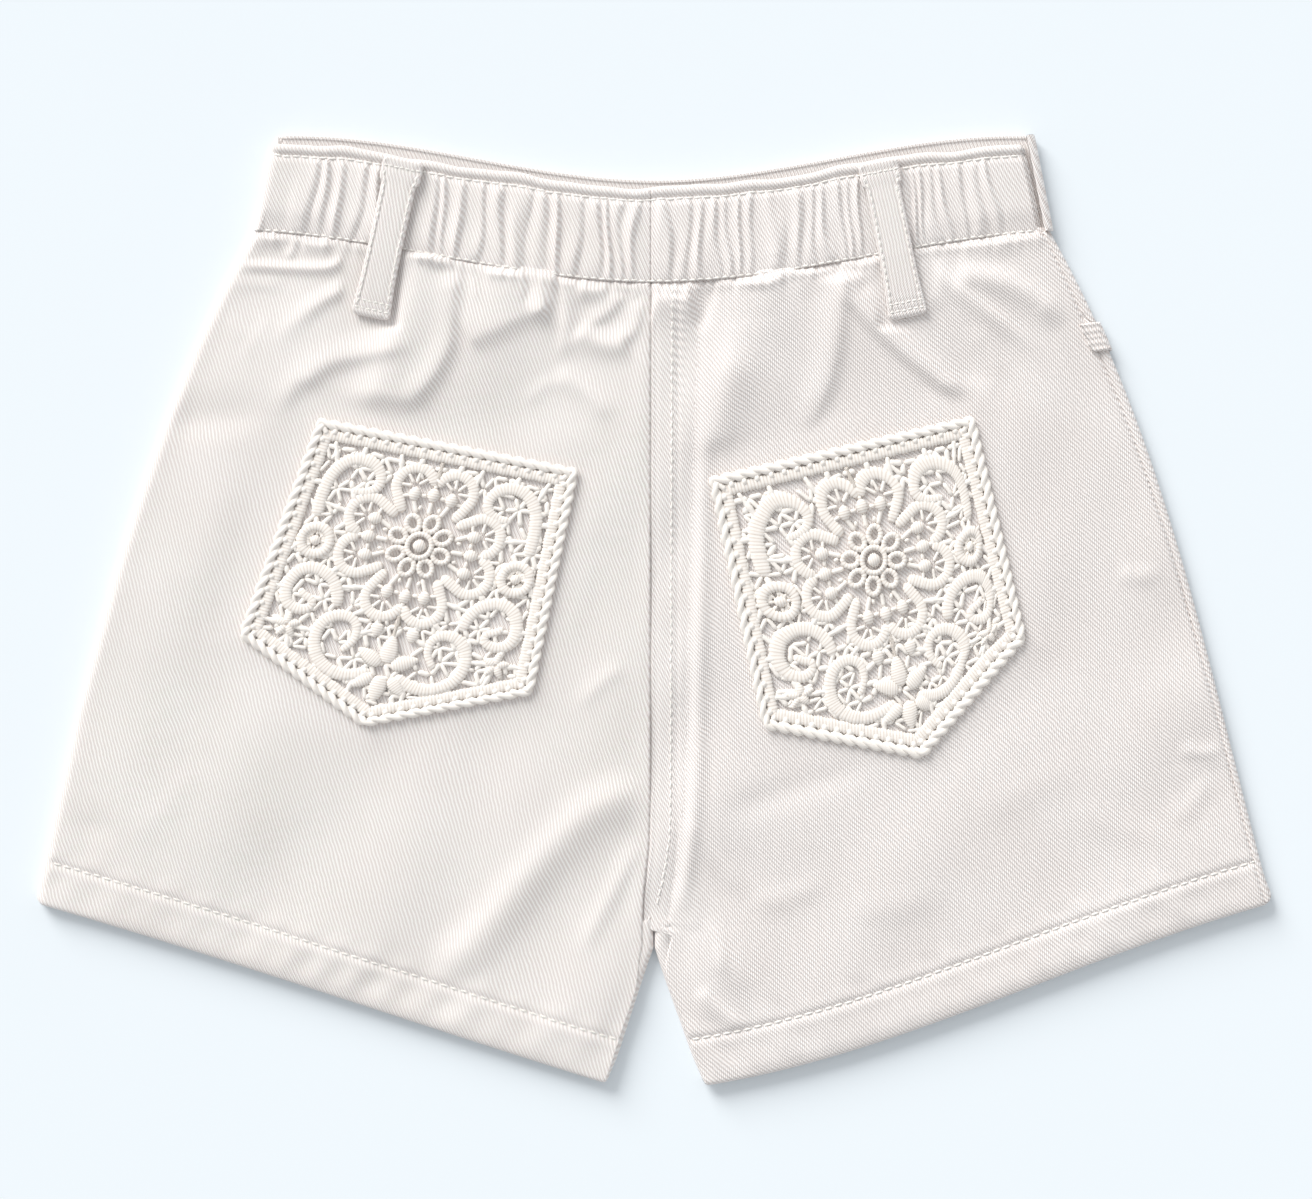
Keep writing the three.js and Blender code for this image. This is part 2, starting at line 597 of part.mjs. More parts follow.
// Grooves between the gathers of the elastic, in millimetres from the middle at half the band's height.
const GATHERS = {
  left: [4, 8.5, 12.5, 16.5, 22, 28.5, 34, 40, 47, 54, 59.5, 65.5, 69, 88, 92.5, 98, 104.5, 108.5],
  right: [6, 12, 17.5, 21.7, 25, 28, 33.6, 41.7, 48.5, 53, 57.2, 61.2, 64, 67, 82, 85, 88, 91.6, 95, 100,
    106.5, 111],
};
const LOOP_SPANS = { left: [69, 88], right: [67, 82] }; // smooth stretches under the belt loops
const FLAT_FROM = { left: 108.5, right: 111 }; // the band lies smooth from here to the side
const GATHER_HEIGHT = 1.9;
const NARROWEST_GATHER = 0.45; // a gather's height is this share of the full one and more the wider it is
const FULL_GATHER = 12;
const GATHER_PEAK = { from: 0.3, to: 0.75, slope: 0.85 }; // where across a gather it stands highest
const MIDDLE_RISE = 0.5; // beside the centre seam
const FLAT_RISE = 0.2; // towards the side
const MID_HALF_WIDTH = (BAND_TOP_HALF_WIDTH + WAIST_HALF_WIDTH) / 2;

// Across the band's height: share from the top edge, height above the smooth band, and how far the gathers
// show there. A roll stands above the row of stitching.
const BAND_PROFILE = [
  { share: 0, lift: -1.2, gather: 0 },
  { share: 0.05, lift: 0.2, gather: 0.1 },
  { share: 0.13, lift: -0.5, gather: 0.15 },
  { share: 0.24, lift: 0, gather: 0.9 },
  { share: 0.88, lift: 0, gather: 1 },
  { share: 1, lift: -0.7, gather: 0.1 },
];

// Columns along a half of the band: distance from the middle and how high the gather stands there.
function gatherColumns(half) {
  const [loopStart, loopEnd] = LOOP_SPANS[half];
  const columns = [{ x: 0, rise: MIDDLE_RISE }];
  const grooves = [0, ...GATHERS[half]];
  grooves.slice(1).forEach((x, i) => {
    const before = grooves[i];
    const isUnderLoop = before >= loopStart && x <= loopEnd;
    const full = Math.min(1, NARROWEST_GATHER + (x - before) / FULL_GATHER);
    const rise = isUnderLoop ? 0 : GATHER_HEIGHT * full;
    columns.push({ x: mix(before, x, GATHER_PEAK.from), rise });
    columns.push({ x: mix(before, x, GATHER_PEAK.to), rise: rise * GATHER_PEAK.slope });
    columns.push({ x, rise: 0 });
  });
  return [...columns, { x: mix(FLAT_FROM[half], MID_HALF_WIDTH, 0.4), rise: FLAT_RISE }];
}

// Plan of the band: x is millimetres from the middle at half its height.
function bandPoint(sign, middleX, x, share, topY) {
  const edge = mix(BAND_TOP_HALF_WIDTH, WAIST_HALF_WIDTH, share);
  const planX = middleX + (sign * x * (edge - Math.abs(middleX))) / MID_HALF_WIDTH;
  const top = topY(planX);
  return [planX, mix(top, waistSeamY(planX) + SEAM_GAP / 2, share)];
}

function backBandHalf(half) {
  const sign = LEGS[half].sign;
  const middleX = BACK_SEAM_X + (sign * SEAM_GAP) / 2;
  const rightEnd = MID_HALF_WIDTH - BAND_RADIUS - 2 * SEAM_GAP;
  const rows = BAND_PROFILE.map(({ share, lift, gather }) => {
    const place = (x, z, topY = backBandY) => [...bandPoint(sign, middleX, x, share, topY), z];
    const columns = gatherColumns(half).map(({ x, rise }) => {
      const top = BAND_TOP + lift + rise * gather;
      return { outer: place(x, top), inner: place(x, BAND_INSIDE) };
    });
    if (sign > 0) {
      columns.push({ outer: place(rightEnd, BAND_TOP + lift), inner: place(rightEnd, BAND_INSIDE) });
      return columns;
    }
    const overlap = SIDE_UNDERLAP;
    const roll = rollColumns({ radius: BAND_RADIUS, wall: BAND_WALL, turn: -1, full: 1, overlap });
    roll.forEach(({ outer, inner }, i) => {
      const turned = i / (roll.length - 1);
      const topY = (x) => mix(backBandY(x), frontBandY(x), turned);
      const drop = lift * (1 - turned);
      columns.push({
        outer: place(MID_HALF_WIDTH - outer.inset, Math.max(0, outer.z + drop), topY),
        inner: place(MID_HALF_WIDTH - inner.inset, inner.z, topY),
      });
    });
    return columns;
  });
  return meshOf(`back_waistband_${half}`, wallGeometry(asSeen(rows, sign)));
}

const FRONT_BAND = { shares: [0, 0.1, 0.5, 1], columns: 9, topWall: BAND_WALL - 0.6 };

function frontBand() {
  const leftEnd = MID_HALF_WIDTH - SIDE_UNDERLAP - SEAM_GAP;
  const rightEnd = MID_HALF_WIDTH - BAND_RADIUS;
  const rows = FRONT_BAND.shares.map((share) => {
    const wall = share === 0 ? FRONT_BAND.topWall : BAND_WALL;
    const place = (x, z) => [...bandPoint(1, 0, x, share, frontBandY), z];
    const flat = (x) => ({ outer: place(x, 0), inner: place(x, wall) });
    const left = steps(FRONT_BAND.columns).reverse().map((t) => flat(-t * leftEnd));
    const right = steps(FRONT_BAND.columns).slice(1).map((t) => flat(t * rightEnd));
    const overlap = BAND_RADIUS + SEAM_GAP;
    const roll = rollColumns({ radius: BAND_RADIUS, wall, turn: 1, full: 1, overlap });
    const over = roll.slice(1).map(({ outer, inner }) => ({
      outer: place(MID_HALF_WIDTH - outer.inset, outer.z),
      inner: place(MID_HALF_WIDTH - inner.inset, inner.z),
    }));
    return [...left, ...right, ...over];
  });
  return meshOf('front_waistband', wallGeometry(asSeen(rows, -1)));
}

// ---------------------------------------------------------------- belt loops

const LOOP_WALL = 1.6;
const LOOP_CROWN = 0.35; // how much lower its edges are than its middle
const LOOP_COLUMNS = [-1, -0.8, 0, 0.8, 1];

// Down the loop: share of its length, half-width and height of its underside. It is sewn down at both ends
// and bridges the seam between band and panel.
const LOOP_PROFILE = [
  { share: 0, half: 6.4, rest: 5.9 },
  { share: 0.03, half: 6.6, rest: 6.1 },
  { share: 0.09, half: 6.6, rest: 6.1 },
  { share: 0.14, half: 5.6, rest: 6.0 },
  { share: 0.35, half: 5.5, rest: 6.2 },
  { share: 0.6, half: 5.5, rest: 6.2 },
  { share: 0.78, half: 5.7, rest: 6.0 },
  { share: 0.93, half: 6.2, rest: 5.6 },
  { share: 1, half: 6.2, rest: 5.4 },
];

function beltLoop({ name, top, bottom }) {
  const along = new THREE.Vector2(bottom[0] - top[0], bottom[1] - top[1]);
  const across = new THREE.Vector2(-along.y, along.x).normalize();
  const rows = LOOP_PROFILE.map(({ share, half, rest }) => LOOP_COLUMNS.map((t) => {
    const x = top[0] + along.x * share + across.x * t * half;
    const y = top[1] + along.y * share + across.y * t * half;
    const crown = Math.abs(t) === 1 ? 0 : LOOP_CROWN;
    return { outer: [x, y, rest + LOOP_WALL - LOOP_CROWN + crown], inner: [x, y, rest] };
  }));
  return meshOf(`belt_loop_${name}`, wallGeometry(rows));
}

// ---------------------------------------------------------------- lace pockets

// Padded cords of the left half, as points along the middle of each; the right half mirrors them. The width
// runs from `width` to `tail` where the cord winds in.
const SCROLLS = [
  {
    path: [
      [-34.4, -31.5], [-34.1, -19.9], [-32.4, -15.2], [-29.2, -11.7], [-25, -10.3],
      [-20.8, -11.3], [-18.1, -14.1], [-17.7, -17.4], [-19.8, -19.9], [-26.4, -20.9]],
    width: 4.3,
    tail: 2.8,
  },
  {
    path: [
      [-20.4, -58.6], [-21.1, -54.1], [-25.2, -49], [-31.1, -47.4], [-35.6, -50],
      [-37.5, -55], [-35.5, -60], [-32.1, -61.2], [-28.2, -59.2], [-30.2, -55.6]],
    width: 4.4,
    tail: 2.6,
  },
  {
    path: [
      [-3.5, -76.4], [-10.2, -79], [-17.4, -78.2], [-21.6, -75.2], [-24.3, -69],
      [-22.4, -62.9], [-17, -60.2], [-12.6, -62.6], [-12, -67.2], [-14, -70.4]],
    width: 4.3,
    tail: 2.6,
  },
];
const TAIL_FROM = 0.35; // share of a scroll's length from which it grows narrower

// Flower of four heart-shaped petals round a wheel. A petal has two round lobes, each a cord that starts
// where they meet and runs on to the wheel.
const FLOWER = { x: 0, y: -34, petals: 4, wheel: 10.8, button: 2.8 };
const LOBE = { out: 18.5, aside: 6.4, radius: 6, width: 3.7, from: -80, to: 130, count: 5 };
const LOBE_END = [[12, 9.6], [9, 7.8]];
const PETAL_BUDS = [-6, 0, 6]; // how far aside the three buds of a petal lie, each with its bar
const BUD = { from: 9.5, length: 14, wide: 3.6 };
const ROSETTE = { x: -32.6, y: -38.6, radius: 6.2, hole: 2.6, rim: 0.8 };
const LEAVES = [
  { x: 0, y: -73, angle: 90, length: 9.5, wide: 6.2 },
  { x: -1.5, y: -73.6, angle: 155, length: 9, wide: 5.2 },
  { x: -2.5, y: -77.5, angle: 218, length: 8, wide: 4.6 },
  { x: 0, y: -77, angle: 270, length: 9.3, wide: 6.2 },
  { x: -5.8, y: -60.6, angle: 270, length: 4.6, wide: 4.6 },
  { x: -34, y: -66.8, angle: 20, length: 4.6, wide: 2.8 },
  { x: -34, y: -66.8, angle: 164, length: 4.6, wide: 2.8 },
  { x: -34, y: -66.8, angle: 308, length: 4.6, wide: 2.8 },
];
// Bars of the ground, left half, from one cord to the next.
const BAR_WIDTH = 1.5;
const BARS = [
  { from: [0, -5], to: [0, -16] },
  { from: [-6.4, -5], to: [-6.4, -9] },
  { from: [-13.5, -5], to: [-12, -12] },
  { from: [-25, -5], to: [-25, -10] },
  { from: [-35, -5], to: [-32, -15] },
  { from: [-40, -20], to: [-34, -20] },
  { from: [-34.4, -31], to: [-33.4, -35] },
  { from: [-34, -26], to: [-23, -28] },
  { from: [-26, -20], to: [-23, -25] },
  { from: [-34, -36], to: [-42, -46] },
  { from: [-26.5, -49], to: [-21, -44] },
  { from: [-22, -52], to: [-11, -50] },
  { from: [-42, -55], to: [-36, -55] },
  { from: [-43, -66], to: [-34, -66.8] },
  { from: [-34, -67], to: [-35.5, -59] },
  { from: [-34, -66.8], to: [-23, -67.5] },
  { from: [-34, -66.8], to: [-31, -77] },
  { from: [-15, -60], to: [-9, -56] },
  { from: [-5.8, -64], to: [-6.4, -57] },
  { from: [-5.8, -63], to: [-13, -66] },
  { from: [0, -54], to: [0, -66] },
  { from: [-8, -78], to: [-9, -86] },
];

const POCKET_OUTLINE = [
  [-POCKET.mouthHalf, 0],
  [-POCKET.baseHalf, -POCKET.sideDepth],
  [0, -POCKET.pointDepth],
  [POCKET.baseHalf, -POCKET.sideDepth],
  [POCKET.mouthHalf, 0],
].map(([x, y]) => new THREE.Vector2(x, y));
const FRAME = { outer: 2.8, inner: 6.5, joint: 0.1 }; // padded cord inside the chain edge

// a convex outline, anticlockwise, moved in by a distance
function insetOutline(outline, distance) {
  return outline.map((corner, i) => {
    const before = outline[(i + outline.length - 1) % outline.length];
    const after = outline[(i + 1) % outline.length];
    const arriving = corner.clone().sub(before).normalize();
    const leaving = after.clone().sub(corner).normalize();
    const inward = new THREE.Vector2(-arriving.y - leaving.y, arriving.x + leaving.x).normalize();
    const half = Math.abs(inward.cross(arriving));
    return corner.clone().addScaledVector(inward, distance / half);
  });
}

function plate(outline, depth, hole = null) {
  const shape = new THREE.Shape(outline);
  if (hole) shape.holes.push(new THREE.Path(hole));
  return solidOfExtrusion(new THREE.ExtrudeGeometry(shape, { depth, bevelEnabled: false }));
}

// A flat cord along a path of points, with a width at each share of the path.
function cord(path, widthAt, depth) {
  const normals = path.map((point, i) => {
    const after = path[Math.min(path.length - 1, i + 1)];
    const along = after.clone().sub(path[Math.max(0, i - 1)]).normalize();
    return new THREE.Vector2(-along.y, along.x);
  });
  const side = (sign) => path.map((point, i) =>
    point.clone().addScaledVector(normals[i], (sign * widthAt(i / (path.length - 1))) / 2));
  return plate([...side(-1), ...side(1).reverse()], depth);
}

const bar = (from, to) => cord([from, to], () => BAR_WIDTH, LACE_GROUND);

function circle(x, y, radius, count) {
  return steps(count).slice(0, count).map((t) => {
    const angle = t * 2 * Math.PI;
    return new THREE.Vector2(x + radius * Math.cos(angle), y + radius * Math.sin(angle));
  });
}

// Half-widths down a leaf, as shares of its length and width.
const LEAF_SHAPE = [[0, 0.25], [0.5, 0.5], [1, 0.12]];

function leafOutline({ x, y, angle, length, wide }) {
  const turn = THREE.MathUtils.degToRad(angle);
  const right = LEAF_SHAPE.map(([t, s]) => new THREE.Vector2(t * length, -s * wide));
  const left = [...LEAF_SHAPE].reverse().map(([t, s]) => new THREE.Vector2(t * length, s * wide));
  const root = new THREE.Vector2(x, y);
  return [...right, ...left].map((point) => point.rotateAround(new THREE.Vector2(), turn).add(root));
}

const mirrored = (path) => path.map(({ x, y }) => new THREE.Vector2(-x, y)).reverse();

// One petal of the flower, pointing out at `angle` degrees.
function petal(angle) {
  const turn = THREE.MathUtils.degToRad(angle);
  const middle = new THREE.Vector2(FLOWER.x, FLOWER.y);
  const place = (out, aside) =>
    new THREE.Vector2(out, aside).rotateAround(new THREE.Vector2(), turn).add(middle);
  const parts = [];
  for (const side of [1, -1]) {
    const lobe = steps(LOBE.count).map((t) => {
      const round = THREE.MathUtils.degToRad(mix(LOBE.from, LOBE.to, t));
      const aside = LOBE.aside + LOBE.radius * Math.sin(round);
      return place(LOBE.out + LOBE.radius * Math.cos(round), side * aside);
    });
    const end = LOBE_END.map(([out, aside]) => place(out, side * aside));
    const path = side > 0 ? [...lobe, ...end] : [...lobe, ...end].reverse();
    parts.push(cord(path, () => LOBE.width, LACE_CORD));
  }
  for (const aside of PETAL_BUDS) {
    const { x, y } = place(BUD.from, aside);
    parts.push(plate(leafOutline({ x, y, angle, length: BUD.length, wide: BUD.wide }), LACE_GROUND));
  }
  return parts;
}

// Scrolls, rosette, leaves and bars of the left half, and their mirror images.
function laceHalves() {
  const point = ([x, y]) => new THREE.Vector2(x, y);
  const parts = [];
  for (const { path, width, tail } of SCROLLS) {
    const points = path.map(point);
    const widthAt = (t) => mix(width, tail, smooth((t - TAIL_FROM) / (1 - TAIL_FROM)));
    parts.push(cord(points, widthAt, LACE_CORD));
    parts.push(cord(mirrored(points), (t) => widthAt(1 - t), LACE_CORD));
  }
  for (const sign of [1, -1]) {
    const x = sign * ROSETTE.x;
    const hole = circle(x, ROSETTE.y, ROSETTE.hole, 6);
    parts.push(plate(circle(x, ROSETTE.y, ROSETTE.radius - ROSETTE.rim, 10), LACE_GROUND));
    parts.push(plate(circle(x, ROSETTE.y, ROSETTE.radius, 10), LACE_CORD, hole));
  }
  for (const { from, to } of BARS) {
    parts.push(bar(point(from), point(to)));
    if (from[0] !== 0) parts.push(bar(point([-from[0], from[1]]), point([-to[0], to[1]])));
  }
  for (const leaf of LEAVES) {
    parts.push(plate(leafOutline(leaf), LACE_GROUND));
    if (leaf.x !== 0) parts.push(plate(mirrored(leafOutline(leaf)), LACE_GROUND));
  }
  return parts;
}

// The lace of one pocket in its own design space, as one solid.
function laceSolid() {
  const inner = insetOutline(POCKET_OUTLINE, FRAME.inner);
  const parts = [
    plate(POCKET_OUTLINE, LACE_GROUND, inner),
    plate(insetOutline(POCKET_OUTLINE, FRAME.outer), LACE_CORD, insetOutline(inner, -FRAME.joint)),
    plate(circle(FLOWER.x, FLOWER.y, FLOWER.wheel, 12), LACE_GROUND),
    plate(circle(FLOWER.x, FLOWER.y, FLOWER.button, 8), LACE_CORD),
    ...steps(FLOWER.petals).slice(1).flatMap((t) => petal(360 * t)),
    ...laceHalves(),
  ];
  return parts.reduce((sum, part) => sum.add(part)).simplify(LACE_TOLERANCE);
}

function lacePocket(name, lace) {
  const geometry = geometryOf(lace);
  const position = geometry.attributes.position;
  for (let i = 0; i < position.count; i += 1) {
    const [x, y] = pocketPoint(POCKET_PLACES[name], position.getX(i), position.getY(i));
    position.setXYZ(i, x, y, position.getZ(i) + BODY_TOP + POCKET_GAP);
  }
  return meshOf(`lace_pocket_${name}`, geometry, LACE_WHITE);
}

// ---------------------------------------------------------------- the garment

const shorts = new THREE.Group();
for (const half of ['left', 'right']) {
  shorts.add(...frontHalf(half));
  shorts.add(backPanel(half));
  shorts.add(backBandHalf(half));
}
shorts.add(frontBand(), pocketTab());
shorts.add(...BELT_LOOPS.map(beltLoop));
const lace = laceSolid();
shorts.add(...Object.keys(POCKET_PLACES).map((name) => lacePocket(name, lace)));

export default shorts;
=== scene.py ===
import math

import bmesh
import bpy
import numpy as np
from mathutils import Matrix, Vector


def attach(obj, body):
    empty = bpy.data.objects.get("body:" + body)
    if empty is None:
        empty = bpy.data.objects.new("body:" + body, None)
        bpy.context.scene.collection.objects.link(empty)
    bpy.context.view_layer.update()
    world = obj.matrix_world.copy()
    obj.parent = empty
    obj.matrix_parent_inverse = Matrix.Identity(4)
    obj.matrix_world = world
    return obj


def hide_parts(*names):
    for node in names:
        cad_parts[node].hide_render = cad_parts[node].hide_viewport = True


bl_info = {
    "name": "Lace Pocket Shorts",
    "version": (1, 0, 0),
    "blender": (4, 5, 0),
    "location": "3D View > Sidebar > Shorts",
    "description": "White cotton twill shorts laid flat, back up, with an elastic waist and lace pockets",
    "category": "Mesh",
}

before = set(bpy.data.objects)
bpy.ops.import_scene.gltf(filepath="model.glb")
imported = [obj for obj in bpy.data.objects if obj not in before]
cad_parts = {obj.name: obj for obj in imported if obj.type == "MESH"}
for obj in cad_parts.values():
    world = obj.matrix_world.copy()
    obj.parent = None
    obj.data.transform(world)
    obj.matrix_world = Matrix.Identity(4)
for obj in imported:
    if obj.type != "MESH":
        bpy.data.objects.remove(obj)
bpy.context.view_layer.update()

# Forms are laid out in millimetres and become metres where a mesh is made.
MM = 0.001

# ------------------------------------------------------------------ sizes of the garment

SEAM_GAP = 0.3
EDGE_RADIUS = 2.0
BAND_RADIUS = 2.7
EDGE_TOP = 2 * EDGE_RADIUS
BODY_TOP = 5.0
BAND_INSIDE = 3.0
BAND_WALL = 2.4
BAND_TOP = BAND_INSIDE + BAND_WALL

# Lines across the waist: height at the middle, rise to the sides, and half-width over which they rise.
WAIST_CENTRE_Y = 105.0
WAIST_SEAM = (WAIST_CENTRE_Y, 17.0, 140.0)
BACK_BAND = (135.6, 13.8, 122.0)
FRONT_BAND = (138.0, 14.2, 115.0)
BAND_TOP_HALF_WIDTH = 122.0
WAIST_HALF_WIDTH = 128.0
MID_HALF_WIDTH = (BAND_TOP_HALF_WIDTH + WAIST_HALF_WIDTH) / 2

CROTCH_Y = -107.8
CROTCH_V = 0.8
HEM_V = 0.9375
LEG_LENGTH = 240.0
HALF_WIDTH = 198.0
BACK_SEAM_X = -1.0
BACK_SEAM_END_Y = -102.4
INNER_WRAP = 2.5
SIDE_UNDERLAP = 3.0
FRONT_HEM_INSET = 0.6
BACK_CROTCH_V = CROTCH_V * (WAIST_CENTRE_Y - BACK_SEAM_END_Y) / (WAIST_CENTRE_Y - CROTCH_Y)

POCKET_GAP = 0.3
LACE_CORD = 1.9
CORNER_RADIUS = 2.6

# ------------------------------------------------------------------ small maths


def mix(a, b, t):
    return a + (b - a) * t


def smooth(t):
    t = np.clip(t, 0.0, 1.0)
    return t * t * (3.0 - 2.0 * t)


def bell(distance, reach):
    return np.exp(-((distance / reach) ** 2))


def bezier(points, t):
    a, b, c, d = np.asarray(points, float)
    t = np.asarray(t, float)[..., None]
    s = 1 - t
    return s**3 * a + 3 * s * s * t * b + 3 * s * t * t * c + t**3 * d


def smooth_path(points, count):
    """A smooth curve through listed points, with this many steps from each to the next."""
    p = np.asarray(points, float)
    p = np.concatenate([[2 * p[0] - p[1]], p, [2 * p[-1] - p[-2]]])
    t = np.linspace(0, 1, count, endpoint=False)[:, None]
    pieces = []
    for a, b, c, d in zip(p, p[1:], p[2:], p[3:]):
        bend = (2 * a - 5 * b + 4 * c - d) * t**2 + (3 * b - a - 3 * c + d) * t**3
        pieces.append(0.5 * (2 * b + (c - a) * t + bend))
    return np.concatenate([*pieces, p[-2:-1]])


def table(rows, at, column=1):
    """Reads a column of a table whose first column climbs."""
    return np.interp(at, [row[0] for row in rows], [row[column] for row in rows])


def side_clearances(corners, x, y):
    """How far inside each side of an outline points lie. The corners run anticlockwise."""
    return [((b[0] - a[0]) * (y - a[1]) - (b[1] - a[1]) * (x - a[0])) / math.dist(a, b)
            for a, b in zip(corners, corners[1:] + corners[:1])]


def rise(line, x):
    y, height, half_width = line
    return y + height * smooth(np.abs(x) / half_width)


def waist_seam_y(x):
    return rise(WAIST_SEAM, x)


def back_band_y(x):
    return rise(BACK_BAND, x)


def front_band_y(x):
    return rise(FRONT_BAND, x)


def edge_round(distance, radius):
    """How far a cut or folded edge has dropped, this far in from it."""
    t = np.clip(1 - distance / radius, 0.0, 1.0)
    return radius * (1 - np.sqrt(1 - t * t))


def spaced(count, marks, width=1.0):
    """Shares from 0 to 1, closer together near each mark: (place, how many times closer, reach)."""
    fine = np.linspace(0, 1, 4001)
    density = np.ones_like(fine)
    for place, times, reach in marks:
        density += times * bell(fine - place, reach)
    whole = np.concatenate([[0], np.cumsum((density[1:] + density[:-1]) / 2)])
    return np.interp(np.linspace(0, whole[-1], count), whole, fine) * width


# ------------------------------------------------------------------ legs


class Leg:
    """Plan of one leg: u runs from 0 at the middle to 1 at the side, v from 0 at the waist to 1 at the hem."""

    def __init__(self, sign, waist_x, side, hem, inner):
        waist = (waist_x, float(waist_seam_y(waist_x)) - SEAM_GAP / 2)
        self.sign = sign
        self.waist_x = waist_x
        self.side_curve = [waist, *side]
        self.hem_curve = hem
        self.inner_curve = inner

    def side(self, v):
        return bezier(self.side_curve, v)

    def hem(self, u):
        return bezier(self.hem_curve, u)

    def top(self, u):
        x = mix(self.sign * SEAM_GAP / 2, self.waist_x, u)
        return np.stack([x, waist_seam_y(x) - SEAM_GAP / 2], -1)

    def middle(self, v):
        top = WAIST_CENTRE_Y - SEAM_GAP / 2
        down = top + (CROTCH_Y - top) * np.clip(v / CROTCH_V, 0, 1)
        line = np.stack([np.full_like(down, self.sign * SEAM_GAP / 2), down], -1)
        leg = bezier(self.inner_curve, np.clip((v - CROTCH_V) / (1 - CROTCH_V), 0, 1))
        return np.where((v > CROTCH_V)[..., None], leg, line)

    def plan(self, u, v):
        u, v = np.broadcast_arrays(np.asarray(u, float), np.asarray(v, float))
        a, b = u[..., None], v[..., None]
        zero, one = np.zeros_like(u), np.ones_like(u)
        point = self.top(u) * (1 - b) + self.hem(u) * b + self.middle(v) * (1 - a) + self.side(v) * a
        corners = (self.top(zero) * (1 - b) + self.hem(zero) * b) * (1 - a)
        return point - corners - (self.top(one) * (1 - b) + self.hem(one) * b) * a

    def share(self, edge, v):
        """How much u changes for one millimetre straight in from an edge."""
        step = 0.002
        v = np.clip(v, 0, 1)
        inward = step if edge == 0 else -step
        across = (self.plan(edge + inward, v) - self.plan(edge, v)) / step
        along = self.plan(edge, np.minimum(1, v + step)) - self.plan(edge, np.maximum(0, v - step))
        along /= np.linalg.norm(along, axis=-1, keepdims=True)
        return 1 / np.abs(along[..., 0] * across[..., 1] - along[..., 1] * across[..., 0])

    def lay(self, u, v):
        """Plan with the hem's corners rounded off, run on above the waist seam where v is below 0."""
        point = self.plan(u, np.clip(v, 0, 1))
        point[..., 1] += np.maximum(0, -v) * LEG_LENGTH
        from_inner = np.maximum(0, u / self.share(0, v))
        from_side = np.maximum(0, (1 - u) / self.share(1, v))
        lift = edge_round(from_inner, CORNER_RADIUS) + edge_round(from_side, CORNER_RADIUS)
        point[..., 1] += lift * bell((1 - v) * LEG_LENGTH, 6.0)
        return point

    def v_at_side(self, y):
        v = np.linspace(0, 1, 2001)
        return float(np.interp(-y, -self.side(v)[:, 1], v))


LEGS = {
    "left": Leg(
        -1, -WAIST_HALF_WIDTH,
        side=[(-165.6, 54.1), (-182.2, -20.4), (-HALF_WIDTH, -93.6)],
        hem=[(-14.5, -151.6), (-77.5, -132.1), (-137.6, -110.9), (-HALF_WIDTH, -93.6)],
        inner=[(-0.15, CROTCH_Y), (-5.1, -122.1), (-9.6, -136.4), (-14.5, -151.6)],
    ),
    "right": Leg(
        1, WAIST_HALF_WIDTH - 1,
        side=[(165.6, 53.1), (177.4, -19.3), (HALF_WIDTH, -93.6)],
        hem=[(15.4, -152.2), (77.7, -142.7), (134.4, -111.2), (HALF_WIDTH, -93.6)],
        inner=[(0.15, CROTCH_Y), (4.9, -123.0), (9.9, -135.0), (15.4, -152.2)],
    ),
}

# ------------------------------------------------------------------ lace pocket places

POCKET_MOUTH_HALF = 42.5
POCKET_BASE_HALF = 48.0
POCKET_SIDE_DEPTH = 73.5
POCKET_POINT_DEPTH = 95.0

# Corners: left and right end of the mouth, left and right corner of the base, and the point.
POCKET_PLACES = {
    "left": ((-107.2, 61.8), (-24.0, 45.4), (-132.8, -8.0), (-38.7, -26.7), (-93.1, -37.1)),
    "right": ((17.3, 42.7), (102.3, 62.5), (34.8, -37.6), (119.0, -8.9), (86.0, -47.3)),
}


def pocket_point(place, x, y):
    mouth_a, mouth_b, base_a, base_b, point = (np.array(corner) for corner in place)
    depth = np.clip(-y / POCKET_SIDE_DEPTH, None, 1.0)
    share = (x / mix(POCKET_MOUTH_HALF, POCKET_BASE_HALF, depth) + 1) / 2
    share, depth = share[..., None], depth[..., None]
    upper = mix(mix(mouth_a, mouth_b, share), mix(base_a, base_b, share), depth)
    drop = (-y - POCKET_SIDE_DEPTH) / (POCKET_POINT_DEPTH - POCKET_SIDE_DEPTH)
    to_b = ((1 - drop + x / POCKET_BASE_HALF) / 2)[..., None]
    drop = drop[..., None]
    lower = base_a * (1 - drop - to_b) + base_b * to_b + point * drop
    return np.where(drop > 0, lower, upper)


def pocket_clearance(place, x, y):
    """Distance to the pocket's outline, negative inside."""
    mouth_a, mouth_b, base_a, base_b, point = place
    return -np.minimum.reduce(side_clearances([mouth_a, base_a, point, base_b, mouth_b], x, y))


# ------------------------------------------------------------------ folds of the back

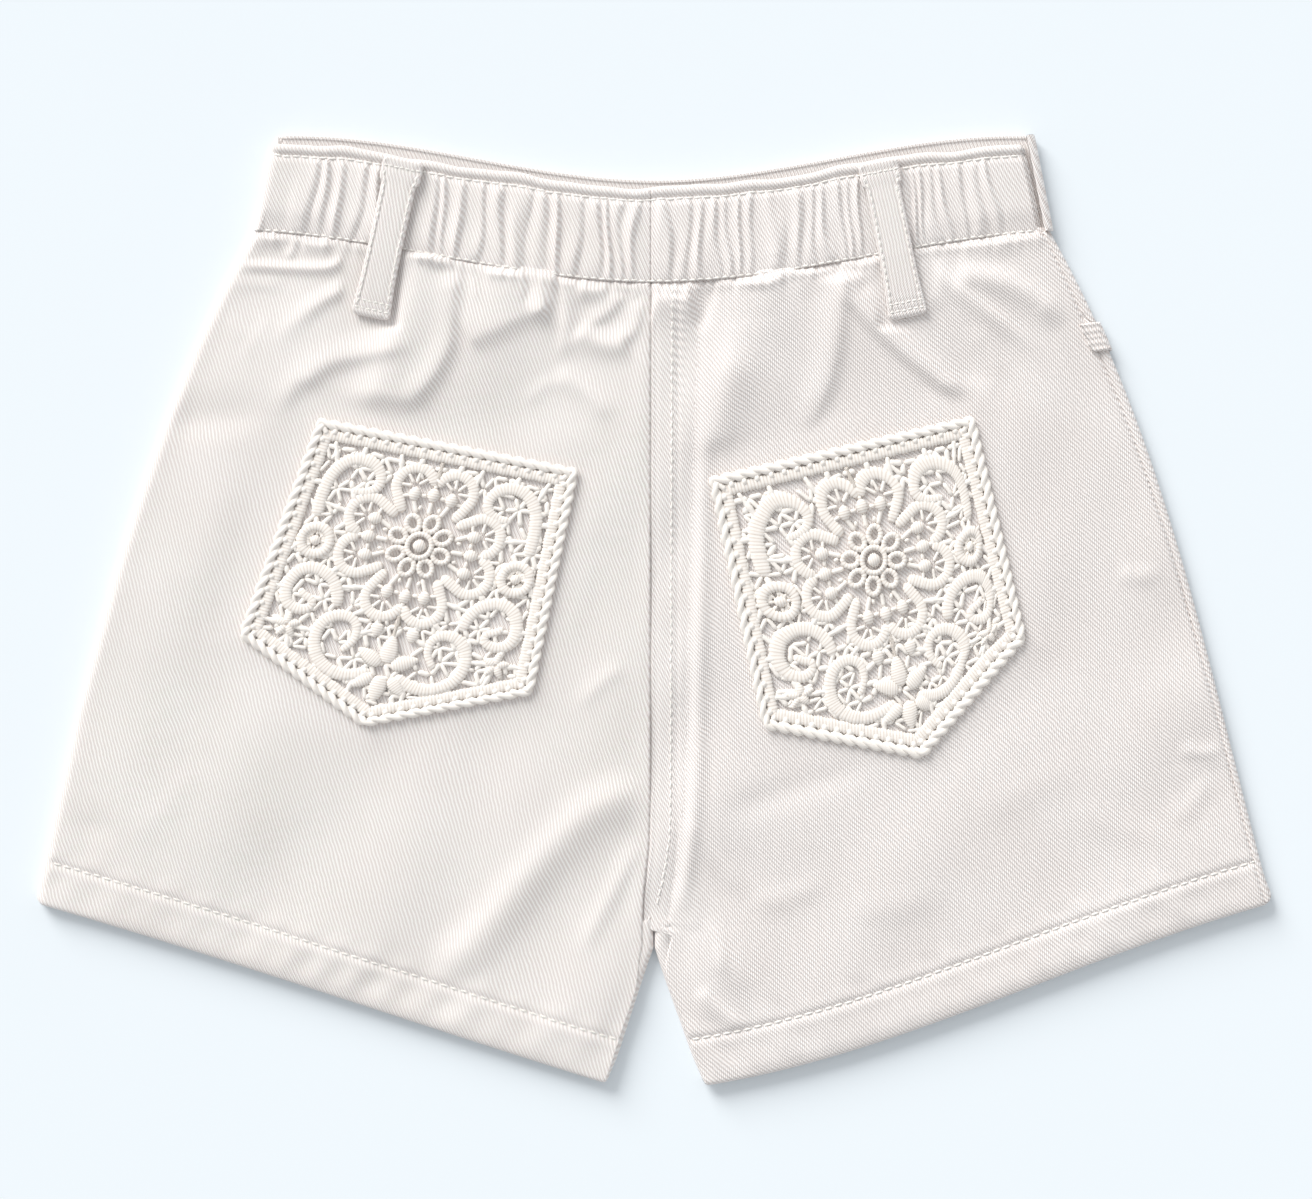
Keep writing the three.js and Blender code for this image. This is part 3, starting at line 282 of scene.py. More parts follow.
# Folds: points along the crest, height, how far it falls off to the left and to the right as seen along the
# points, and the shares of its length over which it rises at its start and dies away at its end.
FOLDS = [
    # left hip
    (((-137, 111), (-125, 110.2), (-112, 109.6), (-104, 109.8), (-99.8, 112.5), (-99, 117)), 1.2, 1.6, 2.0,
     (0.15, 0.1)),
    (((-92, 115.5), (-93, 110.5), (-95.5, 105.8), (-99.5, 102.4), (-104.5, 100), (-109, 96.8), (-114, 92),
     (-121, 86)), 1.4, 2.2, 2.8, (0.1, 0.6)),
    (((-106, 100.5), (-114, 93.5), (-127, 81)), 0.5, 4, 3, (0.3, 0.4)),
    (((-121, 96), (-126, 89), (-134, 78)), 0.35, 2.4, 2, (0.3, 0.3)),
    (((-137, 105), (-127, 104.8), (-117, 104)), 0.5, 3, 2.4, (0.3, 0.3)),
    (((-137, 93), (-134, 90.5), (-131, 86)), 0.4, 2, 2.6, (0.3, 0.3)),
    (((-76, 86), (-86, 83.4), (-93, 82), (-100, 80.6), (-105.5, 78.3), (-110.5, 74), (-117, 68.5),
     (-122, 61)), 1.4, 2.9, 5, (0.15, 0.3)),
    (((-74, 117), (-74.6, 106), (-77.3, 97), (-80.5, 88), (-83.5, 80), (-86.5, 72), (-91, 65), (-97, 57)),
     2.4, 10, 7, (0.06, 0.15)),
    (((-63.6, 110), (-64.8, 100), (-65.2, 92), (-66, 85), (-68.5, 79), (-72.5, 73), (-78, 67), (-85, 60)),
     1.8, 2.7, 5, (0.1, 0.25)),
    (((-77, 112.8), (-72, 112.6), (-65.5, 110)), 0.8, 1.3, 1.9, (0.25, 0.25)),
    (((-131, 119.4), (-123, 118.6), (-117.5, 117.8)), 0.9, 1.6, 2.4, (0.3, 0.3)),
    (((-113.5, 117.2), (-108, 116.6), (-102, 116.2)), 0.9, 1.4, 2.4, (0.3, 0.3)),
    (((-113.5, 120), (-115.5, 115.5), (-118, 112)), 0.6, 1.3, 1.3, (0.3, 0.3)),
    (((-160, 59), (-141, 61.5), (-121, 63)), -1.0, 7, 5, (0.35, 0.35)),
    (((-134, 50), (-141, 25), (-148, 0)), 0.4, 6, 6, (0.35, 0.35)),
    # left of the middle
    (((-57.6, 114), (-57.4, 106), (-56.5, 98)), 0.7, 1.4, 1.4, (0.25, 0.25)),
    (((-60.5, 86.5), (-56, 88.6), (-50, 91.3), (-43, 94.8), (-38, 96), (-33, 96.5)), 1.6, 12, 4.2,
     (0.12, 0.12)),
    (((-41, 95.4), (-36.5, 96), (-34, 98.5), (-33.6, 103), (-33.6, 112)), 1.2, 3, 2.1, (0.25, 0.1)),
    (((-55.5, 107.8), (-49, 107.4), (-42, 107.3)), 0.6, 1.2, 1.7, (0.3, 0.3)),
    (((-39.2, 109), (-39.6, 103), (-41.5, 97)), -0.5, 1.3, 1.3, (0.25, 0.25)),
    (((-28, 107), (-28, 96), (-28.6, 87), (-29.5, 79)), 0.9, 3, 2, (0.1, 0.3)),
    (((-26, 102.8), (-20, 102), (-14.5, 102.6)), 1.0, 1.6, 2.7, (0.3, 0.3)),
    (((-21.5, 92), (-16.5, 94.4), (-12.8, 97.8), (-10, 102)), 1.0, 4, 1.9, (0.25, 0.2)),
    (((-11.5, 86), (-7.5, 88.5), (-5.3, 93), (-4.2, 101)), 0.9, 3, 1.8, (0.25, 0.2)),
    (((-25.5, 90.5), (-20, 86.6), (-14, 84.9), (-7.5, 85.8)), 1.5, 4, 3.8, (0.2, 0.15)),
    (((-33, 76), (-25, 72), (-18, 66), (-13.5, 59.5)), 1.0, 4, 3.5, (0.2, 0.3)),
    (((-31, 75.5), (-36.5, 71), (-42, 66)), 0.4, 2.4, 1.8, (0.3, 0.3)),
    (((-8, 105), (-7.3, 102), (-5, 99.5)), 0.5, 1.5, 1.5, (0.3, 0.3)),
    # right of the middle
    (((-1, 99.7), (6, 98.8), (13.5, 99.6)), 1.6, 3, 7, (0.15, 0.2)),
    (((19, 108), (17.8, 101), (16, 95), (13.5, 88)), -1.1, 2.2, 3, (0.15, 0.3)),
    (((41.5, 112), (40.3, 103), (38, 97.5), (32, 92), (28, 86.5), (25, 79), (22.8, 70), (20.8, 60),
     (19, 50)), 2.1, 11, 9, (0.05, 0.4)),
    (((28.5, 88), (25, 79), (22.8, 70), (20.8, 60), (19, 50), (17.5, 38)), 1.2, 6.5, 5, (0.3, 0.35)),
    (((27, 104.6), (34, 104.2), (40, 104.8)), 0.6, 1.2, 1.6, (0.3, 0.3)),
    (((59.2, 108), (59.3, 100), (58.6, 90), (57, 80), (54.5, 71), (50, 62), (44, 54.5)), 1.5, 2.9, 5.5,
     (0.08, 0.35)),
    (((60, 110), (61.5, 101.5), (65.5, 96.3), (71, 90.3), (78, 84), (87, 76.5), (96, 69.5), (103, 62.5)),
     2.0, 5, 2.0, (0.08, 0.2)),
    (((63, 109.5), (66.5, 107.5), (69, 101)), -0.5, 1.6, 1.6, (0.3, 0.3)),
    # right hip
    (((86.5, 116), (89.5, 109.5), (95, 104), (102, 98.8), (110, 92.6), (118, 86), (126, 78)), 1.3, 2.6, 3.4,
     (0.1, 0.4)),
    (((95, 107.3), (103, 106.8), (111, 105), (118, 102), (124.5, 97.5), (131, 90)), 1.5, 4, 4.2,
     (0.15, 0.2)),
    (((92, 115), (110, 117), (128, 119.5)), 0.5, 1.4, 3, (0.15, 0.15)),
    (((87, 100), (96, 87), (104, 68)), -0.7, 4, 4, (0.25, 0.25)),
    (((100, 92), (107.5, 83.5), (112, 72)), 0.4, 4, 4, (0.35, 0.35)),
    # lower left leg
    (((-1.5, -55), (-20, -64), (-35, -79), (-50, -97), (-62, -110), (-75, -118)), 2.2, 8, 6, (0.12, 0.25)),
    (((-4, -72), (-12, -88), (-25, -112)), 0.8, 2.6, 3, (0.25, 0.25)),
    (((-9, -16.5), (-16, -22), (-26, -32)), 0.6, 2.6, 2.4, (0.3, 0.3)),
    (((-20, 20), (-24, 5), (-30, -12)), 0.4, 5, 5, (0.35, 0.35)),
    (((-146, -48), (-155, -62), (-169, -75)), 0.4, 4, 4, (0.3, 0.3)),
    (((-190, -60), (-184, -68), (-170, -72)), -0.6, 3.5, 3.5, (0.35, 0.35)),
    (((-100, -50), (-120, -66), (-146, -82)), 0.3, 8, 8, (0.35, 0.35)),
    # lower right leg
    (((147, 12.5), (155, 11), (163, 13)), 0.5, 3, 3, (0.3, 0.3)),
    (((167, -43.5), (175, -45.5), (183, -44)), 0.7, 2.4, 2.8, (0.3, 0.3)),
    (((164, -68), (172, -62), (179, -51)), 0.5, 3.5, 3.5, (0.3, 0.3)),
    (((18, -67), (45, -57), (74, -49)), -0.6, 4.5, 4.5, (0.3, 0.3)),
    (((9.5, -65), (17, -77), (31, -93)), 0.5, 3, 2.6, (0.25, 0.25)),
    (((28, -92), (42, -92), (58, -84)), 0.5, 4, 4, (0.35, 0.35)),
    (((60, -94), (76, -95), (96, -88)), 0.4, 5, 5, (0.35, 0.35)),
    (((16, -98), (21, -106), (22, -118)), 0.6, 2.4, 2.4, (0.3, 0.3)),
    (((9, -84), (15, -104), (31, -124)), 0.8, 4, 4.5, (0.25, 0.25)),
    (((14, -120), (20, -127), (31, -134)), 0.9, 2.4, 3, (0.25, 0.25)),
    (((100, -66), (118, -58), (140, -46)), 0.4, 6, 6, (0.35, 0.35)),
    (((132, -60), (150, -70), (176, -74)), 0.4, 5, 5, (0.35, 0.35)),
]

# Puffs just under the waist seam: middle, half-width, height, how far down.
PUFFS = [
    (-48, 8, 1.1, 12), (-22, 8, 0.6, 8), (7.5, 8, 0.6, 8), (32.5, 10, 1.3, 12), (50, 6, 0.5, 8),
    (68, 5, 0.8, 9), (108, 10, 0.5, 7),
]

# Long soft drifts of the cloth where it doesn't lie quite flat: direction it runs in, spacing, height, phase.
DRIFTS = {
    "left": [(62, 46, 0.3, 0.4), (38, 71, 0.35, 2.1), (80, 29, 0.13, 5.0), (15, 58, 0.2, 1.0)],
    "right": [(30, 52, 0.28, 1.2), (52, 33, 0.16, 3.3), (12, 74, 0.3, 0.2), (75, 61, 0.2, 4.1)],
}

# The valley beside the felled strip, from the waist to the crotch.
FELL_LINE = [(-103, 2.6), (-96.8, 4.8), (-84.6, 6.9), (-62, 9.6), (-45, 10.6), (-10, 11.2), (16, 11.9),
             (36, 12.4), (67.5, 13.4), (92, 14.5), (106, 15.5)]

# Middle of each belt loop's top and foot.
BELT_LOOPS = {"left": ((-79.7, 144.3), (-90.7, 93.7)), "right": ((71.4, 143.7), (81.2, 93.7))}
# The cloth lies flat this far to either side of a loop above its foot, and rises again over the fade.
LOOP_CLEAR = 7.5
LOOP_FOOT_Y = 92.0
LOOP_FADE = 3.5
# It also lies flat this far out from the lace. Folds, dips and drifts come back over these distances.
LACE_CLEAR = 4.0
FOLD_FADE = 8.0
DIP_FADE = 6.0
DRIFT_FADE = 14.0
# Steps along a smooth curve from each listed point to the next.
FOLD_STEPS, SCROLL_STEPS, LOBE_STEPS = 5, 8, 3


def fold_height(fold, x, y):
    """Height of one fold at each place, from the nearest point of its crest."""
    points, height, left, right, (rise_share, fall_share) = fold
    path = smooth_path(points, FOLD_STEPS)
    best, best_t, best_left = np.full_like(x, 1e9), np.zeros_like(x), np.zeros_like(x, bool)
    pieces = len(path) - 1
    for i in range(pieces):
        (ax, ay), (bx, by) = path[i], path[i + 1]
        dx, dy = bx - ax, by - ay
        share = np.clip(((x - ax) * dx + (y - ay) * dy) / (dx * dx + dy * dy), 0, 1)
        away_x, away_y = x - ax - dx * share, y - ay - dy * share
        distance = np.hypot(away_x, away_y)
        near = distance < best
        best = np.where(near, distance, best)
        best_t = np.where(near, (i + share) / pieces, best_t)
        best_left = np.where(near, dx * away_y - dy * away_x > 0, best_left)
    ends = smooth(best_t / rise_share) * smooth((1 - best_t) / fall_share)
    return height * ends * bell(best, np.where(best_left, left, right))


def puff_height(puff, x, y):
    """Height of one puff, which starts at the waist seam and dies away below it."""
    middle, half, height, drop = puff
    below = waist_seam_y(x) - y
    across = np.maximum(0, 1 - ((x - middle) / half) ** 2)
    return height * across * smooth(below / 3) * (1 - smooth((below - 3) / drop))


def drift_height(half, x, y):
    total = np.zeros_like(x)
    for angle, spacing, height, phase in DRIFTS[half]:
        turn = math.radians(angle + 90)
        along = (x * math.cos(turn) + y * math.sin(turn)) / spacing
        total += height * np.cos(2 * math.pi * along + phase + 0.8 * np.sin(x / 31 + y / 47 + phase))
    return total


def seam_puckers(x, y):
    """Small uneven puckers along the waist seam, where the stitching pulls the cloth in."""
    below = waist_seam_y(x) - y
    wave = np.sin(x * 1.9) + 0.7 * np.sin(x * 1.13 + 1.0) + 0.6 * np.sin(x * 0.61 + 2.0)
    lip = 0.35 * bell(below - 1.8, 1.6)
    return lip + 0.2 * wave * bell(below - 1.5, 3.0)


def relief(half, x, y):
    """All that stands up from a smooth back panel: folds, puffs, drifts and puckers."""
    total = sum(fold_height(fold, x, y) for fold in FOLDS)
    total = total + sum(puff_height(puff, x, y) for puff in PUFFS)
    clearance = np.minimum(*(pocket_clearance(place, x, y) for place in POCKET_PLACES.values()))
    by_loop = np.full_like(x, 1e9)
    below = np.maximum(0, LOOP_FOOT_Y - y)
    for _, (foot_x, _) in BELT_LOOPS.values():
        beside = np.maximum(0, np.abs(x - foot_x) - LOOP_CLEAR)
        by_loop = np.minimum(by_loop, np.hypot(beside, below))
    raised = total * smooth((clearance - LACE_CLEAR) / FOLD_FADE) * smooth(by_loop / LOOP_FADE)
    total = np.where(total > 0, raised, total * smooth(clearance / DIP_FADE))
    drifts = drift_height(half, x, y) * smooth(clearance / DRIFT_FADE)
    return total + drifts + seam_puckers(x, y)


# ------------------------------------------------------------------ the back panels' outer side


# Inner edge of each back panel for shares of the way down: millimetres out from the middle line or, below the
# crotch, from the inner leg. The right panel's felled strip ends in a slanting edge over the crotch.
BACK_INNER_EDGE = {
    "left": [(0, 1.0), (0.62, 1.1), (0.677, 1.4), (0.714, 2.5), (0.741, 3.3), (0.774, 3.55), (0.8, 3.55),
             (0.821, 3.0), (0.842, 1.7), (0.865, 0.7), (0.892, 0.7), (0.92, 1.0), (0.975, 0.8), (1, 0.8)],
    "right": [(0, -1.0), (0.62, -1.1), (0.677, -1.4), (0.714, -2.5), (0.741, -3.3), (0.767, -3.6),
              (0.776, -2.6), (0.7805, -0.2), (0.785, 2.9), (0.7885, 4.7), (0.792, 5.1), (0.8, 4.7),
              (0.812, 3.1), (0.827, 1.5), (0.84, 0.6), (0.865, 0.5), (0.9, 0.7), (0.975, 0.8), (1, 0.8)],
}

# How far the right front wraps round the side on to the back, for shares of the way down.
SIDE_WRAP = [(0, 2.4), (0.14, 3.8), (0.26, 3.5), (0.54, 2.6), (0.76, 2.2)]

# Rows of stitching down the felled strip: height and place across.
FELL_ROWS = {
    "edge": [(-103, -1.2), (-92, -1.6), (-85, -0.6), (-75, 0.2), (-60, 0.45), (106, 0.6)],
    "fell": [(-103, 3.2), (-97, 4.7), (-85, 6.4), (-70, 7.3), (106, 7.7)],
}
# The strip ends this share of the way down, and what is tucked under its neighbour a little before.
STRIP_END_V = 0.782
TUCK_END_V = 0.766
STRIP_FADE_V = 0.01
# How far an edge runs on below its neighbour, so that no light passes between them.
TUCK = 1.8
# How round the back's edges are, how far its rim lies over the top of a rolled edge, and how far its left
# half is raised along the felled strip.
WAIST_EDGE = 0.4
SEAM_EDGE = 0.6
HEM_EDGE = 1.4
FAR_EDGE = 0.9
RIM_LIFT = 0.4
SEAM_LIFT = 0.2
# The back has its full height this far in from the side, the inner leg and the hem, and its folds this far in.
FULL_HEIGHT_IN = (30, 22, 4)
FULL_FOLDS_IN = (10, 10, 14)


def hem_relief(half, x, v):
    """The turned-up hem is pulled into slanting dimples by its stitching."""
    sign = LEGS[half].sign
    from_edge = (1 - v) * LEG_LENGTH
    along = x + sign * 0.6 * from_edge
    wave = np.sin(along / 1.8 + 1.1 * np.sin(along / 19)) + 0.6 * np.sin(along / 3.4 + 1.1)
    amount = 0.5 + 0.5 * np.sin(along / 23 + sign)
    below = bell(from_edge - 8, 5) * (0.1 + 0.18 * amount)
    above = bell(from_edge - 18.5, 3.2) * 0.15
    to_row = from_edge - (1 - HEM_V) * LEG_LENGTH
    groove = -0.4 * bell(to_row, 1.0) + 0.15 * bell(to_row + 2.6, 1.6) + 0.1 * bell(to_row - 2.6, 1.6)
    return wave * (below + above) + groove


def back_height(half, u, v, from_middle, row_width):
    """Plan and height of a back panel before its edges are rounded."""
    point = LEGS[half].lay(u, v)
    x, y = point[..., 0], point[..., 1]
    from_side = row_width - from_middle
    from_hem = (1 - v) * LEG_LENGTH
    inner_leg = np.where(v > BACK_CROTCH_V, from_middle, np.hypot(from_middle, y - BACK_SEAM_END_Y))
    crown, edges = (smooth(from_side / side) * smooth(inner_leg / inner) * smooth(from_hem / hem)
                    for side, inner, hem in (FULL_HEIGHT_IN, FULL_FOLDS_IN))
    edges = edges * (1 - 0.8 * (half == "left") * bell(from_middle, 2.5))
    body = mix(EDGE_TOP + RIM_LIFT, BODY_TOP, crown)
    return x, y, body + relief(half, x, y) * edges + hem_relief(half, x, v)


def back_outer(half, rows, columns):
    """Outer side of a back panel: arrays of x, y and height, from the middle to the side and down."""
    leg = LEGS[half]
    is_left = leg.sign < 0
    v = rows[:, None]
    middle_share, side_share = leg.share(0, v), leg.share(1, v)
    row_width = np.linalg.norm(leg.plan(1, v) - leg.plan(0, v), axis=-1)
    edge = table(BACK_INNER_EDGE[half], v) * middle_share
    tuck = (0 if is_left else TUCK) * (1 - smooth((v - TUCK_END_V) / STRIP_FADE_V))
    start = edge - tuck * middle_share
    inset = EDGE_RADIUS if is_left else table(SIDE_WRAP, v) + 0.1
    side = 1 - inset * side_share
    end = side if is_left else side + TUCK * side_share
    u = start + (end - start) * columns[None, :]
    from_middle = (u - edge) / middle_share
    x, y, z = back_height(half, u, v, np.maximum(0, from_middle), row_width)
    if is_left:
        z = z + SEAM_LIFT * bell(from_middle - 2.2, 2.0) * (v < CROTCH_V)
    strip_end = 0 if is_left else bell(v - STRIP_END_V, 0.012)
    seam = edge_round(from_middle, SEAM_EDGE * (1 + strip_end))
    waist = edge_round(waist_seam_y(x) - SEAM_GAP / 2 - y, WAIST_EDGE)
    hem = edge_round((1 - v) * LEG_LENGTH, HEM_EDGE)
    z = z - seam - waist - hem
    if not is_left:
        z = z + fell_relief(x, y, v)
        z = z - edge_round((side - u) / side_share, FAR_EDGE)
    return np.stack([x, y, z], -1)


def fell_relief(x, y, v):
    """The felled strip beside the centre back seam, low between its neighbours, with a valley at its edge."""
    across = table(FELL_LINE, y) - x
    body = 1 - smooth((v - STRIP_END_V) / STRIP_FADE_V)
    strip = -0.25 * smooth(across / 2.0 + 0.3)
    ridge = 1.0 * bell(across + 3.6, 2.6) * smooth((66 - y) / 30) * smooth((y + 100) / 16)
    valley = -0.35 * bell(across + 0.4, 1.4) * smooth((y + 104) / 14)
    rows = sum(bell(x - table(row, y), 0.7) for row in FELL_ROWS.values())
    puckers = np.sin(y * 2.1 + x * 0.7 + 0.9 * np.sin(y / 7)) * bell(x - table(FELL_ROWS["fell"], y), 2.4)
    swell = 0.3 * np.sin(y / 6.5 + 0.8 * np.sin(y / 17)) * bell(across - 5, 3.5)
    sewing = 0.18 * puckers - 0.25 * rows
    return (strip + ridge + valley + sewing + swell) * body


# Steps round a rolled edge.
ROLL_STEPS = 12


def roll_rows(radius, turn, full, overlap):
    """Edge that rolls over: millimetres in from the edge and height, for each row.

    full is the share of a half turn that each row rolls through. turn is +1 where the cloth climbs from the
    surface and -1 where it drops to it. overlap is how far in a fully rolled edge ends.
    """
    full = np.atleast_1d(full)[:, None]
    angle = np.linspace(0, 1, ROLL_STEPS)[None, :] * full * math.pi
    start = radius * np.sin(np.minimum(full * math.pi, math.pi / 2))
    inset = start - radius * np.sin(angle)
    height = radius - turn * radius * np.cos(angle)
    step = 0.15 * (inset[:, -1:] - inset[:, -2:-1])
    last = np.where(full >= 1, overlap, inset[:, -1:] + step)
    climb = np.where(full >= 1, height[:, -1:], height[:, -1:] + 0.15 * (height[:, -1:] - height[:, -2:-1]))
    return np.concatenate([inset, last], 1), np.concatenate([height, climb], 1)


# ------------------------------------------------------------------ meshes


def grid_mesh(name, points, cut, flip=False):
    """A grid draped over rows and columns of points, with the cut of the cloth as its UV map."""
    rows, columns = points.shape[:2]
    bm = bmesh.new()
    bmesh.ops.create_grid(bm, x_segments=columns - 1, y_segments=rows - 1, size=0.5)
    if flip:
        bmesh.ops.reverse_faces(bm, faces=bm.faces)
    mesh = bpy.data.meshes.new(name)
    bm.to_mesh(mesh)
    bm.free()
    place = np.empty(len(mesh.vertices) * 3)
    mesh.vertices.foreach_get("co", place)
    place = place.reshape(-1, 3)
    i = np.rint((place[:, 0] + 0.5) * (columns - 1)).astype(int)
    j = np.rint((0.5 - place[:, 1]) * (rows - 1)).astype(int)
    mesh.vertices.foreach_set("co", (points[j, i] * MM).ravel())
    corner = np.empty(len(mesh.loops), int)
    mesh.loops.foreach_get("vertex_index", corner)
    layer = mesh.uv_layers.new(name="cut")
    place = cut[j, i][corner]
    if place.shape[-1] > 2:
        on_strip = np.repeat(place[:, 4].reshape(-1, 4).mean(1) > 0.5, 4)
        place = np.where(on_strip[:, None], place[:, 2:4], place[:, :2])
    layer.data.foreach_set("uv", (place * MM).ravel())
    mesh.polygons.foreach_set("use_smooth", np.ones(len(mesh.polygons), bool))
    mesh.update()
    return mesh


def cut_of(points, angle, strip_angle=None):
    """Place in the cut of the cloth, turned so that the first coordinate runs straight across the wales.

    angle is how steeply the wales run down to the right, in degrees. They step aside where the cloth rises.
    With a strip's angle, the strip's own place and whether the point is on it follow.
    """
    x, y, z = points[..., 0], points[..., 1], points[..., 2]
    rise = z - BODY_TOP
    drift = 0.9 * np.sin(x / 29 + y / 41 + 0.7)
    drift = drift + 0.5 * np.sin(x / 13 - y / 19) + 0.35 * np.sin(y / 9 + x / 17)

    def turned(degrees):
        turn = math.radians(degrees)
        across = x * math.sin(turn) + y * math.cos(turn) + 0.6 * rise + drift
        return np.stack([across, x * math.cos(turn) - y * math.sin(turn)], -1)

    if strip_angle is None:
        return turned(angle)
    on_strip = (x < table(FELL_LINE, y)) & (y > BACK_SEAM_END_Y - 1)
    return np.concatenate([turned(angle), turned(strip_angle), on_strip[..., None]], -1)


def add_piece(mesh, material, replaces=()):
    """Puts a mesh in the scene as a piece that rides the body and stands for the nodes it replaces."""
    piece = bpy.data.objects.new(mesh.name, mesh)
    bpy.context.scene.collection.objects.link(piece)
    mesh.materials.append(material)
    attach(piece, "root")
    if replaces:
        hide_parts(*replaces)
    return piece


def give_wall(piece, wall, doubled=None, thin_share=1.0):
    """Thickens a laid grid inwards. Where the cloth isn't doubled, it gets only the thin share of the wall."""
    solid = piece.modifiers.new("wall", "SOLIDIFY")
    solid.thickness = wall
    solid.offset = -1
    if doubled is not None:
        group = piece.vertex_groups.new(name="doubled cloth")
        group.add([int(i) for i in np.flatnonzero(doubled)], 1.0, "REPLACE")
        solid.vertex_group = group.name
        solid.thickness_vertex_group = thin_share


def row_order(points):
    """Row of each vertex of a grid mesh, which holds the last row first."""
    rows, columns = points.shape[:2]
    return np.repeat(np.arange(rows)[::-1], columns)


def lay_cloth(scene, mesh, node, wall, doubled=None, thin_share=1.0):
    """Adds a laid grid as a piece of twill with a wall. Returns the piece and the area of its cloth."""
    area = sum(polygon.area for polygon in mesh.polygons)
    piece = add_piece(mesh, twill(scene), replaces=[node])
    give_wall(piece, wall, doubled, thin_share)
    return piece, area


# ------------------------------------------------------------------ stitches


# A stitch lies this share of its width off its line, by turns of the golden angle, and has this few sides.
STITCH_WOBBLE = 0.12
GOLDEN_ANGLE = 2.399
STITCH_SIDES = 6


def add_stitches(bm, points, pitch, length, width, height, lift):
    """Lays one small rounded stitch after another along a path of points over the cloth."""
    steps = np.linalg.norm(np.diff(points, axis=0), axis=1)
    along = np.concatenate([[0], np.cumsum(steps)])
    count = max(1, int(along[-1] / pitch))
    pitch = along[-1] / count
    size = Matrix.Diagonal((length / 2, width / 2, height / 2, 1))
    turn = Matrix.Rotation(math.pi / 2, 4, "Y")
    for k in range(count):
        middle = (k + 0.5) * pitch
        a, b = (np.array([np.interp(end, along, points[:, axis]) for axis in range(3)])
                for end in (middle - length / 2, middle + length / 2))
        direction = Vector(b - a).normalized()
        side = Vector((0, 0, 1)).cross(direction).normalized()
        up = direction.cross(side)
        wobble = STITCH_WOBBLE * math.sin(k * GOLDEN_ANGLE)
        centre = Vector((a + b) / 2) + side * wobble * width + up * lift
        place = Matrix((direction, side, up)).transposed().to_4x4()
        place.translation = centre
        bmesh.ops.create_uvsphere(
            bm, u_segments=STITCH_SIDES, v_segments=STITCH_SIDES, radius=1,
            matrix=Matrix.Scale(MM, 4) @ place @ size @ turn)


def smooth_mesh(bm, name):
    """Ends a bmesh as a smooth-shaded mesh."""
    mesh = bpy.data.meshes.new(name)
    bm.to_mesh(mesh)
    bm.free()
    mesh.polygons.foreach_set("use_smooth", np.ones(len(mesh.polygons), bool))
    return mesh


# ------------------------------------------------------------------ finishes


def linear(red, green, blue):
    """Colour given in the usual 0 to 255 steps, as Blender's own."""
    steps = [value / 255 for value in (red, green, blue)]
    return tuple(v / 12.92 if v <= 0.04045 else ((v + 0.055) / 1.055) ** 2.4 for v in steps)


class Finish:
    """A material and short ways of wiring it."""

    def __init__(self, name):
        self.material = bpy.data.materials.new(name)
        self.material.use_nodes = True
        self.tree = self.material.node_tree
        self.shader = self.tree.nodes["Principled BSDF"]

    def node(self, kind, **settings):
        made = self.tree.nodes.new(kind)
        for key, value in settings.items():
            setattr(made, key, value)
        return made

    def put(self, socket, value):
        if isinstance(value, bpy.types.NodeSocket):
            self.tree.links.new(value, socket)
        else:
            socket.default_value = value

    def object_place(self):
        return self.node("ShaderNodeTexCoord").outputs["Object"]

    def map_place(self, name):
        """First and second coordinate of a UV map."""
        parts = self.node("ShaderNodeSeparateXYZ")
        self.put(parts.inputs[0], self.node("ShaderNodeUVMap", uv_map=name).outputs[0])
        return parts.outputs[0], parts.outputs[1]

    def maths(self, operation, *values):
        made = self.node("ShaderNodeMath", operation=operation)
        for socket, value in zip(made.inputs, values):
            self.put(socket, value)
        return made.outputs[0]

    def add_up(self, *terms):
        """Sum of values, each times its weight."""
        total = 0.0
        for value, weight in terms:
            total = self.maths("MULTIPLY_ADD", value, weight, total)
        return total

    def wave(self, operation, place, pitch):
        """A wave from 0 to 1 along a place."""
        turned = self.maths(operation, self.maths("MULTIPLY", place, 2 * math.pi / pitch))
        return self.maths("MULTIPLY_ADD", turned, 0.5, 0.5)

    def noise(self, vector, scale, detail=2.0):
        made = self.node("ShaderNodeTexNoise")
        self.put(made.inputs["Vector"], vector)
        self.put(made.inputs["Scale"], scale)
        self.put(made.inputs["Detail"], detail)
        return made.outputs["Fac"]

    def blend(self, share, a, b):
        made = self.node("ShaderNodeMix", data_type="RGBA")
        self.put(made.inputs["Factor"], share)
        self.put(made.inputs["A"], a)
        self.put(made.inputs["B"], b)
        return made.outputs["Result"]

    def bump(self, height, depth):
        made = self.node("ShaderNodeBump")
        self.put(made.inputs["Strength"], 1.0)
        self.put(made.inputs["Distance"], depth)
        self.put(made.inputs["Height"], height)
        self.put(self.shader.inputs["Normal"], made.outputs[0])

    def surface(self, share, low, high, **constants):
        """Colour between a low and a high one, and the shader's constant values."""
        self.put(self.shader.inputs["Base Color"], self.blend(share, (*low, 1), (*high, 1)))
        for name, value in constants.items():
            self.shader.inputs[name.replace("_", " ")].default_value = value
        return self.material


